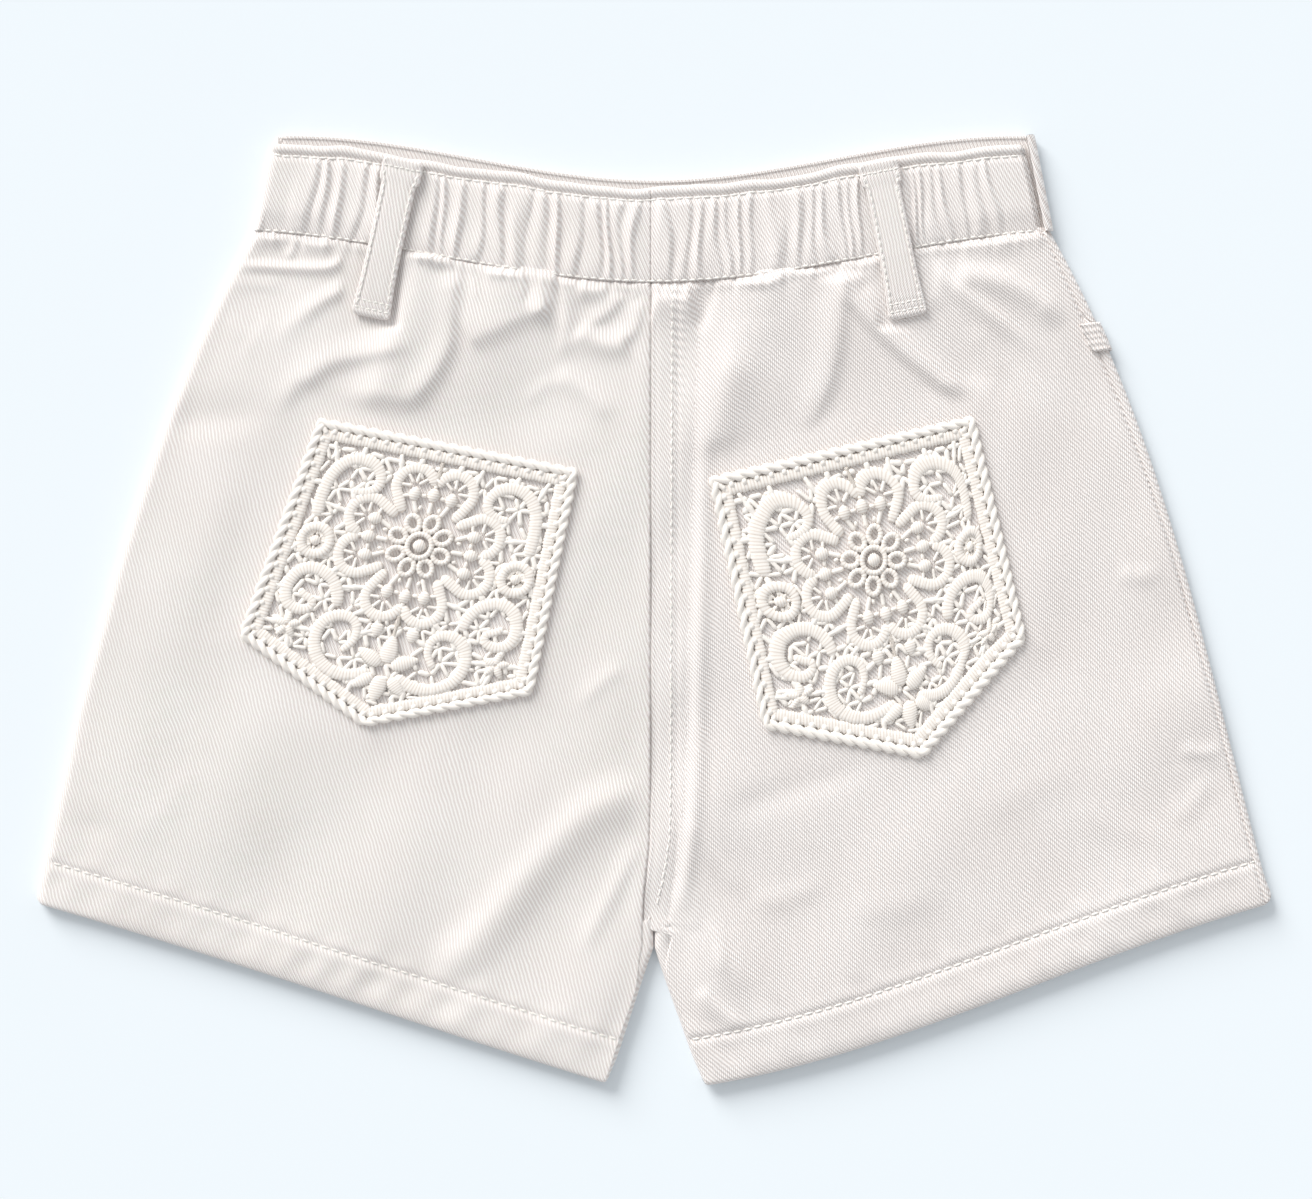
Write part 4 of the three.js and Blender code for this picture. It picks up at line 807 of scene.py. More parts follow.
def twill_finish(name, cloth):
    """Cotton twill: raised wales crossed by fine threads, on the cut of the cloth, with painted shade in the
    grooves between the wales.
    """
    finish = Finish(name)
    across, down = finish.map_place("cut")
    place = finish.object_place()
    wander = finish.maths("SUBTRACT", finish.noise(place, 260.0), 0.5)
    across = finish.add_up((wander, 0.0007), (across, 1.0))
    wale = finish.maths("POWER", finish.wave("SINE", across, cloth.wale_pitch), 0.75)
    thread = finish.wave("SINE", finish.add_up((across, 0.9), (down, 1.0)), cloth.thread_pitch)
    slub = finish.noise(place, 900.0)
    finish.bump(finish.add_up((slub, 0.5), (thread, 0.6), (wale, 1.0)), cloth.wale_depth)
    # Painted shade: the colour runs from the wale colour on the crests to the darker groove colour between the
    # wales and the crossing threads; the mottle added after it is random tone.
    lit = finish.maths("MULTIPLY", wale, finish.maths("MULTIPLY_ADD", thread, 0.21, 0.82))
    worn = finish.maths("MULTIPLY_ADD", finish.noise(place, 38.0, 3.0), 0.35, -0.1)
    share = finish.maths("MULTIPLY_ADD", lit, 0.85, worn)
    share = finish.maths("MINIMUM", finish.maths("MAXIMUM", share, 0.0), 1.0)
    return finish.surface(
        share, cloth.groove_shade_colour, cloth.wale_colour,
        Roughness=0.88, Specular_IOR_Level=0.25, Sheen_Weight=0.12, Sheen_Roughness=0.5)


def thread_finish(name, sewing):
    """Soft sewing thread with a fine twist, with painted shade in the grooves of the twist."""
    finish = Finish(name)
    place = finish.object_place()
    wave = finish.node("ShaderNodeTexWave", bands_direction="DIAGONAL")
    finish.put(wave.inputs["Vector"], place)
    finish.put(wave.inputs["Scale"], 700.0)
    finish.put(wave.inputs["Distortion"], 1.5)
    # Painted shade: a fine diagonal twist, darker in its grooves, mixed with random tone.
    share = finish.add_up((wave.outputs["Fac"], 0.5), (finish.noise(place, 2600.0), 0.5))
    finish.bump(share, 0.00008)
    return finish.surface(share, sewing.painted_shade_colour, sewing.colour, Roughness=0.75, Sheen_Weight=0.15)


def lace_finish(name, lace):
    """Satin-wrapped lace cord: the wraps are modelled, and this adds their threads and the painted shade
    between the wraps.
    """
    finish = Finish(name)
    wraps, _ = finish.map_place("wraps")
    # Painted shade: a narrow darker line between one wrap and the next, with random fibre tone mixed in.
    thread = finish.maths("POWER", finish.wave("COSINE", wraps, 1.0), 0.45)
    fibre = finish.noise(finish.object_place(), 1800.0)
    finish.bump(fibre, 0.00005)
    share = finish.maths("MINIMUM", finish.add_up((fibre, 0.35), (thread, 0.85)), 1.0)
    return finish.surface(share, lace.painted_shade_colour, lace.colour, Roughness=0.7, Sheen_Weight=0.15)


def floor_finish(name, colour):
    """Matt paper with the faintest mottle."""
    finish = Finish(name)
    share = finish.noise(finish.object_place(), 6.0, 3.0)
    other = tuple(v * 0.985 for v in colour)
    return finish.surface(share, other, colour, Roughness=0.95, Specular_IOR_Level=0.0)


# ------------------------------------------------------------------ settings


class ClothSettings(bpy.types.PropertyGroup):
    """The twill that the shorts are cut from"""

    wall: bpy.props.FloatProperty(
        name="Cloth wall", description="Thickness of one layer of twill",
        default=0.001, min=0.0005, max=0.002, precision=4, unit="LENGTH")
    hem_wall: bpy.props.FloatProperty(
        name="Hem wall", description="Thickness of the turned-up hem",
        default=0.0018, min=0.001, max=0.003, precision=4, unit="LENGTH")
    wale_pitch: bpy.props.FloatProperty(
        name="Wale pitch", description="Distance from one wale of the twill to the next",
        default=0.00108, min=0.0005, max=0.004, precision=5, unit="LENGTH")
    thread_pitch: bpy.props.FloatProperty(
        name="Thread pitch", description="Distance between the threads that cross the wales",
        default=0.0008, min=0.0003, max=0.003, precision=5, unit="LENGTH")
    wale_depth: bpy.props.FloatProperty(
        name="Wale depth", description="How far the wales stand up",
        default=0.00019, min=0.0, max=0.001, precision=5, unit="LENGTH")
    wale_colour: bpy.props.FloatVectorProperty(
        name="Wale colour", description="Colour of the raised wales",
        default=linear(255, 252, 250), min=0, max=1, subtype="COLOR")
    # Painted shade: the groove colour stands in for the shade that falls between the wales.
    groove_shade_colour: bpy.props.FloatVectorProperty(
        name="Groove colour", description="Colour between the wales",
        default=linear(225, 215, 210), min=0, max=1, subtype="COLOR")


class LaceSettings(bpy.types.PropertyGroup):
    """The lace of the back pockets"""

    wrap_pitch: bpy.props.FloatProperty(
        name="Wrap pitch", description="Distance between the threads wrapped round a padded cord",
        default=0.00105, min=0.0003, max=0.002, precision=5, unit="LENGTH")
    link: bpy.props.FloatProperty(
        name="Chain link", description="Length of one link of the chain edge",
        default=0.0043, min=0.002, max=0.01, precision=4, unit="LENGTH")
    colour: bpy.props.FloatVectorProperty(
        name="Lace colour", description="Colour of the lace thread",
        default=linear(251, 246, 240), min=0, max=1, subtype="COLOR")
    # Painted shade between the wrapped threads of the lace.
    painted_shade_colour: bpy.props.FloatVectorProperty(
        name="Lace shade", description="Colour between the threads",
        default=linear(218, 205, 193), min=0, max=1, subtype="COLOR")


class SewingSettings(bpy.types.PropertyGroup):
    """The visible stitching"""

    hem_pitch: bpy.props.FloatProperty(
        name="Hem stitch", description="Length of a stitch of the hem",
        default=0.0033, min=0.0015, max=0.006, precision=4, unit="LENGTH")
    thread_width: bpy.props.FloatProperty(
        name="Thread width", description="Width of the sewing thread as it lies",
        default=0.0008, min=0.0003, max=0.0015, precision=4, unit="LENGTH")
    colour: bpy.props.FloatVectorProperty(
        name="Thread colour", description="Colour of the sewing thread",
        default=linear(255, 254, 251), min=0, max=1, subtype="COLOR")
    # Painted shade in the twist of the thread.
    painted_shade_colour: bpy.props.FloatVectorProperty(
        name="Thread shade", description="Colour in the twist of the thread",
        default=linear(226, 220, 212), min=0, max=1, subtype="COLOR")


class StageSettings(bpy.types.PropertyGroup):
    """Floor, light and camera"""

    camera_height: bpy.props.FloatProperty(
        name="Camera height", description="Height of the camera above the surface",
        default=1.0535, min=0.3, max=5, unit="LENGTH")
    floor_size: bpy.props.FloatProperty(
        name="Floor size", description="Length of the floor's sides",
        default=4.0, min=1, max=20, unit="LENGTH")
    floor_colour: bpy.props.FloatVectorProperty(
        name="Floor colour", description="Colour of the floor",
        default=linear(235, 242, 247), min=0, max=1, subtype="COLOR")
    ambient: bpy.props.FloatProperty(
        name="Ambient light", description="Strength of the light from all round",
        default=0.63, min=0, max=2)
    key: bpy.props.FloatProperty(
        name="Key light", description="Strength of the light from the upper left",
        default=3.45, min=0, max=10)
    key_height: bpy.props.FloatProperty(
        name="Key height", description="How high the key light stands over the horizon",
        default=math.radians(25), min=0, max=math.pi / 2, subtype="ANGLE")
    key_turn: bpy.props.FloatProperty(
        name="Key direction", description="Where the key light stands, anticlockwise from the right",
        default=math.radians(124), min=0, max=2 * math.pi, subtype="ANGLE")


# ------------------------------------------------------------------ pieces of the shorts


def twill(scene):
    name = "white cotton twill"
    return bpy.data.materials.get(name) or twill_finish(name, scene.shorts_cloth)


def sewing_thread(scene):
    name = "sewing thread"
    return bpy.data.materials.get(name) or thread_finish(name, scene.shorts_sewing)


def lace_thread(scene):
    name = "lace cotton"
    return bpy.data.materials.get(name) or lace_finish(name, scene.shorts_lace)


# How steeply the wales run down to the right, in degrees.
WALE_ANGLES = {"left": 73, "right": 43}
STRIP_ANGLE = 56
BAND_ANGLES = {"left": 66, "right": 54}
LOOP_ANGLE = 78
TAB_ANGLE = 48
# Shares of the way down and across at which the back's grid has its rows and columns, closer where it bends
# most. The first two rows run on under the band.
BACK_ROWS = spaced(240, [(0.0, 2.2, 0.012), (HEM_V, 2.8, 0.009), (1.0, 3.0, 0.006),
                         (BACK_CROTCH_V, 1.0, 0.012), (0.06, 1.2, 0.09)])
BACK_ROWS = np.concatenate([[-0.0065, -0.003], BACK_ROWS])
BACK_COLUMNS = {
    "left": spaced(172, [(0.0, 3.0, 0.014), (0.35, 0.3, 0.12)]),
    "right": spaced(182, [(0.0, 3.0, 0.014), (0.07, 1.2, 0.05), (1.0, 3.0, 0.012), (0.3, 0.2, 0.12)]),
}


def back_points(half):
    """Outer side of a back panel from left to right, down to the hem."""
    points = back_outer(half, BACK_ROWS, BACK_COLUMNS[half])
    if half == "right":
        return points
    leg = LEGS[half]
    inset, height = roll_rows(EDGE_RADIUS, -1, np.ones(len(BACK_ROWS)), SIDE_UNDERLAP)
    v = BACK_ROWS[:, None]
    side = leg.lay(1 - inset * leg.share(1, v), v)
    hem = edge_round((1 - v) * LEG_LENGTH, HEM_EDGE)
    rolled = np.concatenate([side, np.maximum(0, height - hem * (height > EDGE_RADIUS))[..., None]], -1)
    rolled[:, 0, 2] = points[:, -1, 2]
    points = np.concatenate([points, rolled[:, 1:]], 1)
    return points[:, ::-1]


class SHORTS_OT_back_panels(bpy.types.Operator):
    """Lay the two back panels with their folds, felled strip and hems"""

    bl_idname = "shorts.back_panels"
    bl_label = "Back panels"

    def execute(self, context):
        scene = context.scene
        cloth = scene.shorts_cloth
        for half in LEGS:
            points = back_points(half)
            strip = None if half == "left" else STRIP_ANGLE
            mesh = grid_mesh(f"back_panel_{half}", points, cut_of(points, WALE_ANGLES[half], strip))
            in_hem = BACK_ROWS[row_order(points)] >= HEM_V
            panel, area = lay_cloth(scene, mesh, f"back_{half}", cloth.hem_wall,
                                    doubled=in_hem, thin_share=cloth.wall / cloth.hem_wall)
        return {"FINISHED"}


FRONT_ROWS = spaced(150, [(HEM_V, 2.0, 0.01), (1.0, 2.0, 0.006), (0.8, 1.5, 0.03)],
                    1 - FRONT_HEM_INSET / LEG_LENGTH)
FRONT_COLUMNS = 60
# The inner edge starts to roll up, and is rolled up fully, these shares of the way down.
ROLL_START_V = 0.74
ROLL_FULL_V = 0.77
# How far the front's inner edge wraps on to the back, for shares of the way down.
CROTCH_WRAP = [(0.76, 6.4), (0.81, 5.8), (0.84, 3.4), (0.9, INNER_WRAP)]


def front_points(half):
    """Outer side of a front panel, which lies face down, with the edges that turn up round it."""
    leg = LEGS[half]
    is_left = leg.sign < 0
    v = FRONT_ROWS[:, None]
    middle_share, side_share = leg.share(0, v), leg.share(1, v)
    full = mix(0.1, 1.0, np.clip((FRONT_ROWS - ROLL_START_V) / (ROLL_FULL_V - ROLL_START_V), 0, 1))
    inset, height = roll_rows(EDGE_RADIUS, 1, full, INNER_WRAP)
    inset[:, -1] = np.where(full >= 1, table(CROTCH_WRAP, FRONT_ROWS), inset[:, -1])
    start = inset[:, :1] * middle_share
    end = 1 - (SIDE_UNDERLAP + SEAM_GAP if is_left else EDGE_RADIUS) * side_share
    inner = np.concatenate([leg.lay(inset * middle_share, v), height[..., None]], -1)[:, :0:-1]
    u = start + (end - start) * np.linspace(0, 1, FRONT_COLUMNS)[None, :]
    flat = leg.lay(u, v)
    flat = np.concatenate([flat, np.zeros((*flat.shape[:2], 1))], -1)
    points = [inner, flat]
    if not is_left:
        inset, height = roll_rows(EDGE_RADIUS, 1, np.ones(len(FRONT_ROWS)), 0)
        inset[:, -1] = table(SIDE_WRAP, FRONT_ROWS)
        side = np.concatenate([leg.lay(1 - inset * side_share, v), height[..., None]], -1)[:, 1:]
        side[:, -1, 2] -= 0.5
        points.append(side)
    points = np.concatenate(points, 1)
    return points[:, ::-1] if is_left else points


# Ends of the slanted mouth of the hip pocket: how far out at the waist seam, and the place at the side.
MOUTH_WAIST_X = 95.0
MOUTH_SIDE = (141.0, 92.0)


def mouth_ends(sign):
    return (sign * MOUTH_WAIST_X, float(waist_seam_y(MOUTH_WAIST_X))), (sign * MOUTH_SIDE[0], MOUTH_SIDE[1])


def outside_mouth(sign, x, y):
    """Distance out from the pocket mouth or up from its lower end, whichever is less."""
    (ax, ay), (bx, by) = mouth_ends(sign)
    slant = sign * ((bx - ax) * (y - ay) - (by - ay) * (x - ax)) / math.hypot(bx - ax, by - ay)
    return min(slant, y - by)


def mouth_cuts(bm, sign, gap):
    """Cuts a front along the mouth and along the level line beside it, moved out by a gap."""
    (ax, ay), (bx, by) = mouth_ends(sign)
    slant = Vector((-(by - ay) * sign, (bx - ax) * sign, 0)).normalized()
    for x, y, direction in ((ax, ay, slant), (bx, by, Vector((0, 1, 0)))):
        origin = (Vector((x, y, 0)) + direction * gap) * MM
        bmesh.ops.bisect_plane(
            bm, geom=bm.verts[:] + bm.edges[:] + bm.faces[:], dist=1e-7, plane_co=origin, plane_no=direction)


def split_at_mouth(mesh, sign, keep):
    """Keeps the facing of a front (keep is 1) or all but the facing (keep is -1)."""
    bm = bmesh.new()
    bm.from_mesh(mesh)
    mouth_cuts(bm, sign, keep * SEAM_GAP / 2)
    away = []
    for face in bm.faces:
        centre = face.calc_center_median() / MM
        if (outside_mouth(sign, centre.x, centre.y) - keep * SEAM_GAP / 2) * keep < 0:
            away.append(face)
    bmesh.ops.delete(bm, geom=away, context="FACES")
    bm.to_mesh(mesh)
    bm.free()


class SHORTS_OT_front_panels(bpy.types.Operator):
    """Lay the fronts face down, with the hip pocket facings outside their slanted mouths"""

    bl_idname = "shorts.front_panels"
    bl_label = "Front panels"

    def execute(self, context):
        scene = context.scene
        cloth = scene.shorts_cloth
        for half, leg in LEGS.items():
            points = front_points(half)
            cut = cut_of(points, WALE_ANGLES[half])
            for kind, keep in (("front_panel", -1), ("hip_pocket_facing", 1)):
                mesh = grid_mesh(f"{kind}_{half}", points, cut, flip=True)
                split_at_mouth(mesh, leg.sign, keep)
                node = f"front_{half}" if keep < 0 else f"pocket_facing_{half}"
                panel, area = lay_cloth(scene, mesh, node, cloth.wall)
        return {"FINISHED"}


# ------------------------------------------------------------------ waistband

# Rows of stitching along the band, as shares of the way down it.
BAND_STITCH_ROWS = {"band top": 0.14, "waist seam": 0.985}

# Grooves between the gathers, in millimetres from the middle at half the band's height.
GATHERS = {
    "left": [4, 8.5, 12.5, 16.5, 22, 28.5, 34, 40, 47, 54, 59.5, 65.5, 69, 88, 92.5, 98, 104.5, 108.5],
    "right": [6, 12, 17.5, 21.7, 25, 28, 33.6, 41.7, 48.5, 53, 57.2, 61.2, 64, 67, 82, 85, 88, 91.6, 95, 100,
              106.5, 111],
}
LOOP_SPANS = {"left": (69, 88), "right": (67, 82)}
GATHER_HEIGHT = 1.35
# The band's lower edge comes down towards the sides, where the cloth under it is thin.
BAND_DROP = 0.9
BAND_DROP_WIDTH = 55.0
# The back band's cloth is thinner than its solid wall, and the front band is thicker along its top.
BACK_BAND_WALL = BAND_WALL - 0.9
FRONT_BAND_WALL = BAND_WALL + 0.4

# Height of the band from its top edge down: share, height over the smooth band, how much the gathers show.
BAND_PROFILE = [
    (0, -1.6, 0), (0.012, -0.6, 0.02), (0.035, 0.15, 0.06), (0.07, 0.3, 0.1), (0.095, -0.1, 0.15),
    (0.115, -0.75, 0.2), (0.135, -0.45, 0.35), (0.2, 0, 0.85), (0.3, 0, 1), (0.8, 0, 1), (0.92, -0.1, 0.8),
    (0.97, -0.2, 0.55), (1, -0.45, 0.4)]


def band_point(sign, middle_x, x, share, top_y):
    """Plan of a place on the band: x millimetres out from the middle, this share of the way down."""
    edge = mix(BAND_TOP_HALF_WIDTH, WAIST_HALF_WIDTH, share)
    plan_x = middle_x + sign * x * (edge - abs(middle_x)) / MID_HALF_WIDTH
    return plan_x, mix(top_y(plan_x), waist_seam_y(plan_x) + SEAM_GAP / 2, share)


def gather_height(half, x, share):
    """Height of the gathers over the smooth band: soft ridges, steep towards the right."""
    sign = LEGS[half].sign
    loop_start, loop_end = LOOP_SPANS[half]
    sway = 0.9 * np.sin(share * 3 + x * 0.35) + 0.35 * np.sin(x * 0.8 + 1)
    sway = sway + 0.5 * np.sin(share * 7 + x * 0.17)
    across = x + sway * smooth(x / 4)
    total = np.zeros(np.broadcast(across, share).shape)
    grooves = GATHERS[half]
    for k, (before, groove, after) in enumerate(zip([0, *grooves], grooves, [*grooves[1:], grooves[-1] + 8])):
        if loop_start < groove < loop_end:
            continue
        room = (groove - before) if sign > 0 else (after - groove)
        size = min(1.25, room / 6)
        along = (across - groove) * sign + 1.7 * size
        flank = np.where(along > 0, 1.4, 2.2) * size
        reach = smooth((share + 0.1 + 0.12 * math.sin(k * 3.7)) / 0.25)
        reach = reach * (0.75 + 0.25 * np.sin(k * 2.4 + share * 4))
        total = np.maximum(total, (0.55 + 0.45 * size) * reach * np.exp(-(along / flank) ** 2))
        total = total - 0.12 * bell((across - groove) * sign - 0.3, 0.5)
    return GATHER_HEIGHT * total


def band_grid():
    """Shares down the band of the grid's rows, and how far out from the middle its columns lie."""
    rows = spaced(64, [(0.0, 2.5, 0.04), (0.14, 2.2, 0.03), (1.0, 2.5, 0.03)])
    columns = spaced(480, [(0.0, 2.0, 0.006)]) * (MID_HALF_WIDTH - BAND_RADIUS)
    return rows, np.concatenate([[-0.9], columns])


def back_band_points(half):
    """Outer side of half of the back band, from left to right. The left half turns under at its side."""
    sign = LEGS[half].sign
    middle_x = BACK_SEAM_X + sign * SEAM_GAP / 2
    rows, columns = band_grid()
    if sign > 0:
        columns = np.append(columns - 0.6 * smooth(columns / 100), MID_HALF_WIDTH - BAND_RADIUS + 0.6)
    share, x = rows[:, None], columns[None, :]
    lift = table(BAND_PROFILE, share)
    shown = table(BAND_PROFILE, share, column=2)
    plan_x, plan_y = band_point(sign, middle_x, x, share, back_band_y)
    wave = 0.25 * np.sin(plan_x / 4.1) + 0.15 * np.sin(plan_x / 2.3 + 1) + 0.5 * np.sin(plan_x / 9)
    plan_y = plan_y + wave * (1 - smooth(share / 0.3)) * smooth((112 - np.abs(plan_x)) / 12)
    height = BAND_TOP + lift + gather_height(half, np.maximum(0, x), share) * shown - edge_round(x, 0.5)
    near_side = 1 - smooth((MID_HALF_WIDTH - x) / BAND_DROP_WIDTH)
    height = height - BAND_DROP * near_side * smooth((share - 0.7) / 0.3)
    if sign > 0:
        height = height - edge_round(columns[-2] - x, FAR_EDGE - 0.1)
        return np.stack(np.broadcast_arrays(plan_x, plan_y, height), -1)
    inset, roll_z = roll_rows(BAND_RADIUS, -1, np.ones(len(rows)), SIDE_UNDERLAP)
    turned = np.linspace(0, 1, inset.shape[1])[None, :]
    back = band_point(sign, middle_x, MID_HALF_WIDTH - inset, share, back_band_y)
    front = band_point(sign, middle_x, MID_HALF_WIDTH - inset, share, front_band_y)
    roll_y = mix(back[1], front[1], turned)
    roll_z = np.maximum(0, roll_z + lift * (1 - turned))
    flat = np.stack(np.broadcast_arrays(plan_x, plan_y, height), -1)
    rolled = np.stack([back[0], roll_y, roll_z], -1)[:, 1:]
    return np.concatenate([flat, rolled], 1)[:, ::-1]


# Rows of the front band that make up the roll along its top.
FRONT_BAND_ROLL = 8


def front_band_points():
    """Outer side of the front band, which lies face down and turns up at the right."""
    rows = spaced(44, [(0.0, 8.0, 0.04), (0.14, 1.0, 0.03)])
    share = rows[:, None]
    left_end = MID_HALF_WIDTH - SIDE_UNDERLAP - SEAM_GAP
    right_end = MID_HALF_WIDTH - BAND_RADIUS
    x = np.concatenate([np.linspace(-left_end, 0, 90), np.linspace(0, right_end, 90)[1:]])[None, :]
    plan_x, plan_y = band_point(1, 0, x, share, front_band_y)
    flat = np.stack(np.broadcast_arrays(plan_x, plan_y, np.zeros_like(plan_x)), -1)
    inset, height = roll_rows(BAND_RADIUS, 1, np.ones(len(rows)), BAND_RADIUS + SEAM_GAP)
    side_x, side_y = band_point(1, 0, MID_HALF_WIDTH - inset, share, front_band_y)
    rolled = np.stack([side_x, side_y, height], -1)[:, 1:]
    rolled[:, -1, 2] -= 0.5
    return np.concatenate([flat, rolled], 1)


class SHORTS_OT_waistband(bpy.types.Operator):
    """Make the gathered back halves of the elastic waistband and its plain front"""

    bl_idname = "shorts.waistband"
    bl_label = "Waistband"

    def execute(self, context):
        scene = context.scene
        for half in LEGS:
            points = back_band_points(half)
            mesh = grid_mesh(f"back_band_{half}", points, cut_of(points, BAND_ANGLES[half]))
            band, area = lay_cloth(
                scene, mesh, f"back_waistband_{half}", BACK_BAND_WALL * MM)
        points = front_band_points()
        mesh = grid_mesh("front_band", points, cut_of(points, BAND_ANGLES["left"]), flip=True)
        order = row_order(points)
        on_roll = (order > 0) & (order < FRONT_BAND_ROLL)
        band, area = lay_cloth(scene, mesh, "front_waistband", FRONT_BAND_WALL * MM,
                               doubled=on_roll, thin_share=BAND_WALL / FRONT_BAND_WALL)
        return {"FINISHED"}


# ------------------------------------------------------------------ belt loops and tab

LOOP_WALL = 1.6
LOOP_EDGE = 1.1
# Distances of the bar tacks from the loop's top and, the last two, from its foot.
LOOP_TACKS = (3.4, 5.2, 2.6)
# Share of the way down, half-width, and height at which the loop's underside rests.
LOOP_PROFILE = [
    (0, 6.2, 5.9), (0.015, 6.5, 6.1), (0.03, 6.6, 6.1), (0.12, 6.6, 6.1), (0.145, 6.4, 6.05),
    (0.16, 5.6, 6.0), (0.35, 5.5, 6.2), (0.6, 5.5, 6.2), (0.78, 5.7, 6.0), (0.9, 6.1, 5.7),
    (0.97, 6.3, 5.5), (0.99, 6.2, 5.4), (1, 5.6, 5.4)]


def loop_points(half):
    """Outer side of a belt loop, the place of its top, and its length."""
    top, bottom = (np.array(end) for end in BELT_LOOPS[half])
    along = bottom - top
    length = np.linalg.norm(along)
    across = np.array([-along[1], along[0]]) / length
    share = spaced(96, [(0.0, 2, 0.02), (0.15, 2, 0.02), (1.0, 2, 0.02)])[:, None]
    t = np.sin(np.linspace(-1, 1, 25) * math.pi / 2)[None, :]
    half_width = table(LOOP_PROFILE, share)
    half_width = half_width - edge_round(np.minimum(share, 1 - share) * length, 1.8)
    rest = table(LOOP_PROFILE, share, column=2)
    x = top[0] + along[0] * share + across[0] * t * half_width
    y = top[1] + along[1] * share + across[1] * t * half_width
    inset = (1 - np.abs(t)) * half_width
    from_top, from_foot = share * length, (1 - share) * length
    z = rest + LOOP_WALL + 0.3 - edge_round(inset, LOOP_EDGE) - edge_round(from_top, LOOP_EDGE)
    z = z - edge_round(from_foot, LOOP_EDGE + 0.2)
    z = z - 0.3 * bell(inset - 1.6, 0.6) * (share > 0.03) - 0.3 * bell(from_top - LOOP_TACKS[0], 0.7)
    z = z - 0.25 * bell(from_foot - LOOP_TACKS[1], 0.5) - 0.3 * bell(from_foot - LOOP_TACKS[2], 0.5)
    z = z + 0.07 * np.sin(from_top * 1.7) * bell(inset - 0.8, 1.0)
    return np.stack(np.broadcast_arrays(x, y, z), -1), top, length


TAB_TOP_Y, TAB_FOOT_Y = 92.5, 83.5
TAB_WALL = 0.9


def tab_points():
    """Outer side of the tab, which wraps round the right side at the lower end of the pocket mouth."""
    leg = LEGS["right"]
    y = np.linspace(TAB_TOP_Y, TAB_FOOT_Y, 24)
    v = np.array([leg.v_at_side(level) for level in y])[:, None]
    outer = EDGE_RADIUS + SEAM_GAP + TAB_WALL
    angle = np.linspace(0.3 * math.pi, math.pi, 16)[None, :]
    inset = np.concatenate([EDGE_RADIUS - outer * np.sin(angle), [[5.5]]], 1)
    height = np.concatenate([EDGE_RADIUS - outer * np.cos(angle), [[EDGE_RADIUS + outer]]], 1)
    plan = leg.plan(1 - inset * leg.share(1, v), v)
    ends = np.minimum(TAB_TOP_Y - y, y - TAB_FOOT_Y)[:, None]
    z = height - edge_round(ends, 0.5) + 0.12 * np.sin(ends * 3.0) * (height > 3)
    return np.concatenate([plan, np.broadcast_to(z, plan.shape[:2])[..., None]], -1)[:, ::-1]


class SHORTS_OT_belt_loops(bpy.types.Operator):
    """Sew the two belt loops over the waistband, and the tab at the right hip pocket"""

    bl_idname = "shorts.belt_loops"
    bl_label = "Belt loops and tab"

    def execute(self, context):
        scene = context.scene
        for half in LEGS:
            points, _, _ = loop_points(half)
            mesh = grid_mesh(f"belt_loop_{half}_strap", points, cut_of(points, LOOP_ANGLE))
            loop, area = lay_cloth(scene, mesh, f"belt_loop_{half}", (LOOP_WALL - 0.3) * MM)
        points = tab_points()
        mesh = grid_mesh("hip_pocket_tab", points, cut_of(points, TAB_ANGLE))
        tab, area = lay_cloth(scene, mesh, "pocket_tab_right", TAB_WALL * MM)
        return {"FINISHED"}


# ------------------------------------------------------------------ lace pockets

# Padded cords that wind in, left half, as points along the middle of each; the right half mirrors them. The
# width runs from the first number to the second where the cord winds in.
SCROLLS = [
    ([(-34.4, -31.5), (-34.6, -25.5), (-34.1, -19.9), (-32.4, -15.2), (-29.2, -11.7), (-25, -10.3),
      (-20.8, -11.3), (-18.1, -14.1), (-17.7, -17.4), (-19.8, -19.9), (-23, -20.8), (-26.4, -20.9)], 4.5,
      2.9),
    ([(-20.4, -58.6), (-21.1, -54.1), (-23.6, -50.2), (-27.1, -48), (-31.1, -47.4), (-35, -49.3),
      (-37.1, -53.2), (-37.2, -57), (-35.5, -60), (-32.1, -61.2), (-28.8, -60.2), (-28.4, -57.8),
      (-31.2, -56.4), (-33.6, -54.6)], 4.5, 2.6),
    ([(-3.5, -76.4), (-7.9, -78.2), (-12.6, -79.2), (-17.4, -78.2), (-21.6, -75.2), (-23.9, -71),
      (-24.2, -66.6), (-22.4, -62.9), (-19, -60.7), (-15, -60.7), (-12.2, -63.2), (-12, -67.2),
      (-14, -70.4), (-15.6, -71.6)], 4.5, 2.6),
]
# Middle of the flower, which has four petals of two round lobes each, and how far the petals reach.
FLOWER = (0.0, -34.0)
FLOWER_REACH = 23.5
# A lobe: how far out along its petal and how far aside its middle lies, its radius and the width of its cord.
LOBE_OUT, LOBE_ASIDE, LOBE_RADIUS, LOBE_WIDTH = 18.5, 6.4, 6.0, 3.8
# Short bars beside a petal's middle line: both ends, as out along the petal and aside, and the width.
PETAL_BARS = [((16, 1.8), (16, 4.4), 1.3), ((15.4, 7.4), (14.6, 10.2), 1.2), ((13, 3.0), (11, 3.2), 1.2)]
# Rosette at each side of the flower: x, y, radius and width of its ring.
ROSETTE = (-32.6, -38.6, 4.55, 3.3)
# Buds and leaves: x and y of the root, angle, length and width. Those with x other than 0 are mirrored.
LEAVES = [
    (0, -73, 90, 9.8, 6.4), (-1.5, -73.6, 155, 9.4, 5.4), (-2.5, -77.5, 218, 8.4, 4.8),
    (0, -77, 270, 9.4, 6.4), (-5.8, -60.4, 270, 4.8, 4.6),
    *((-34, -66.8, angle, 4.8, 2.9) for angle in range(20, 360, 72)),
]
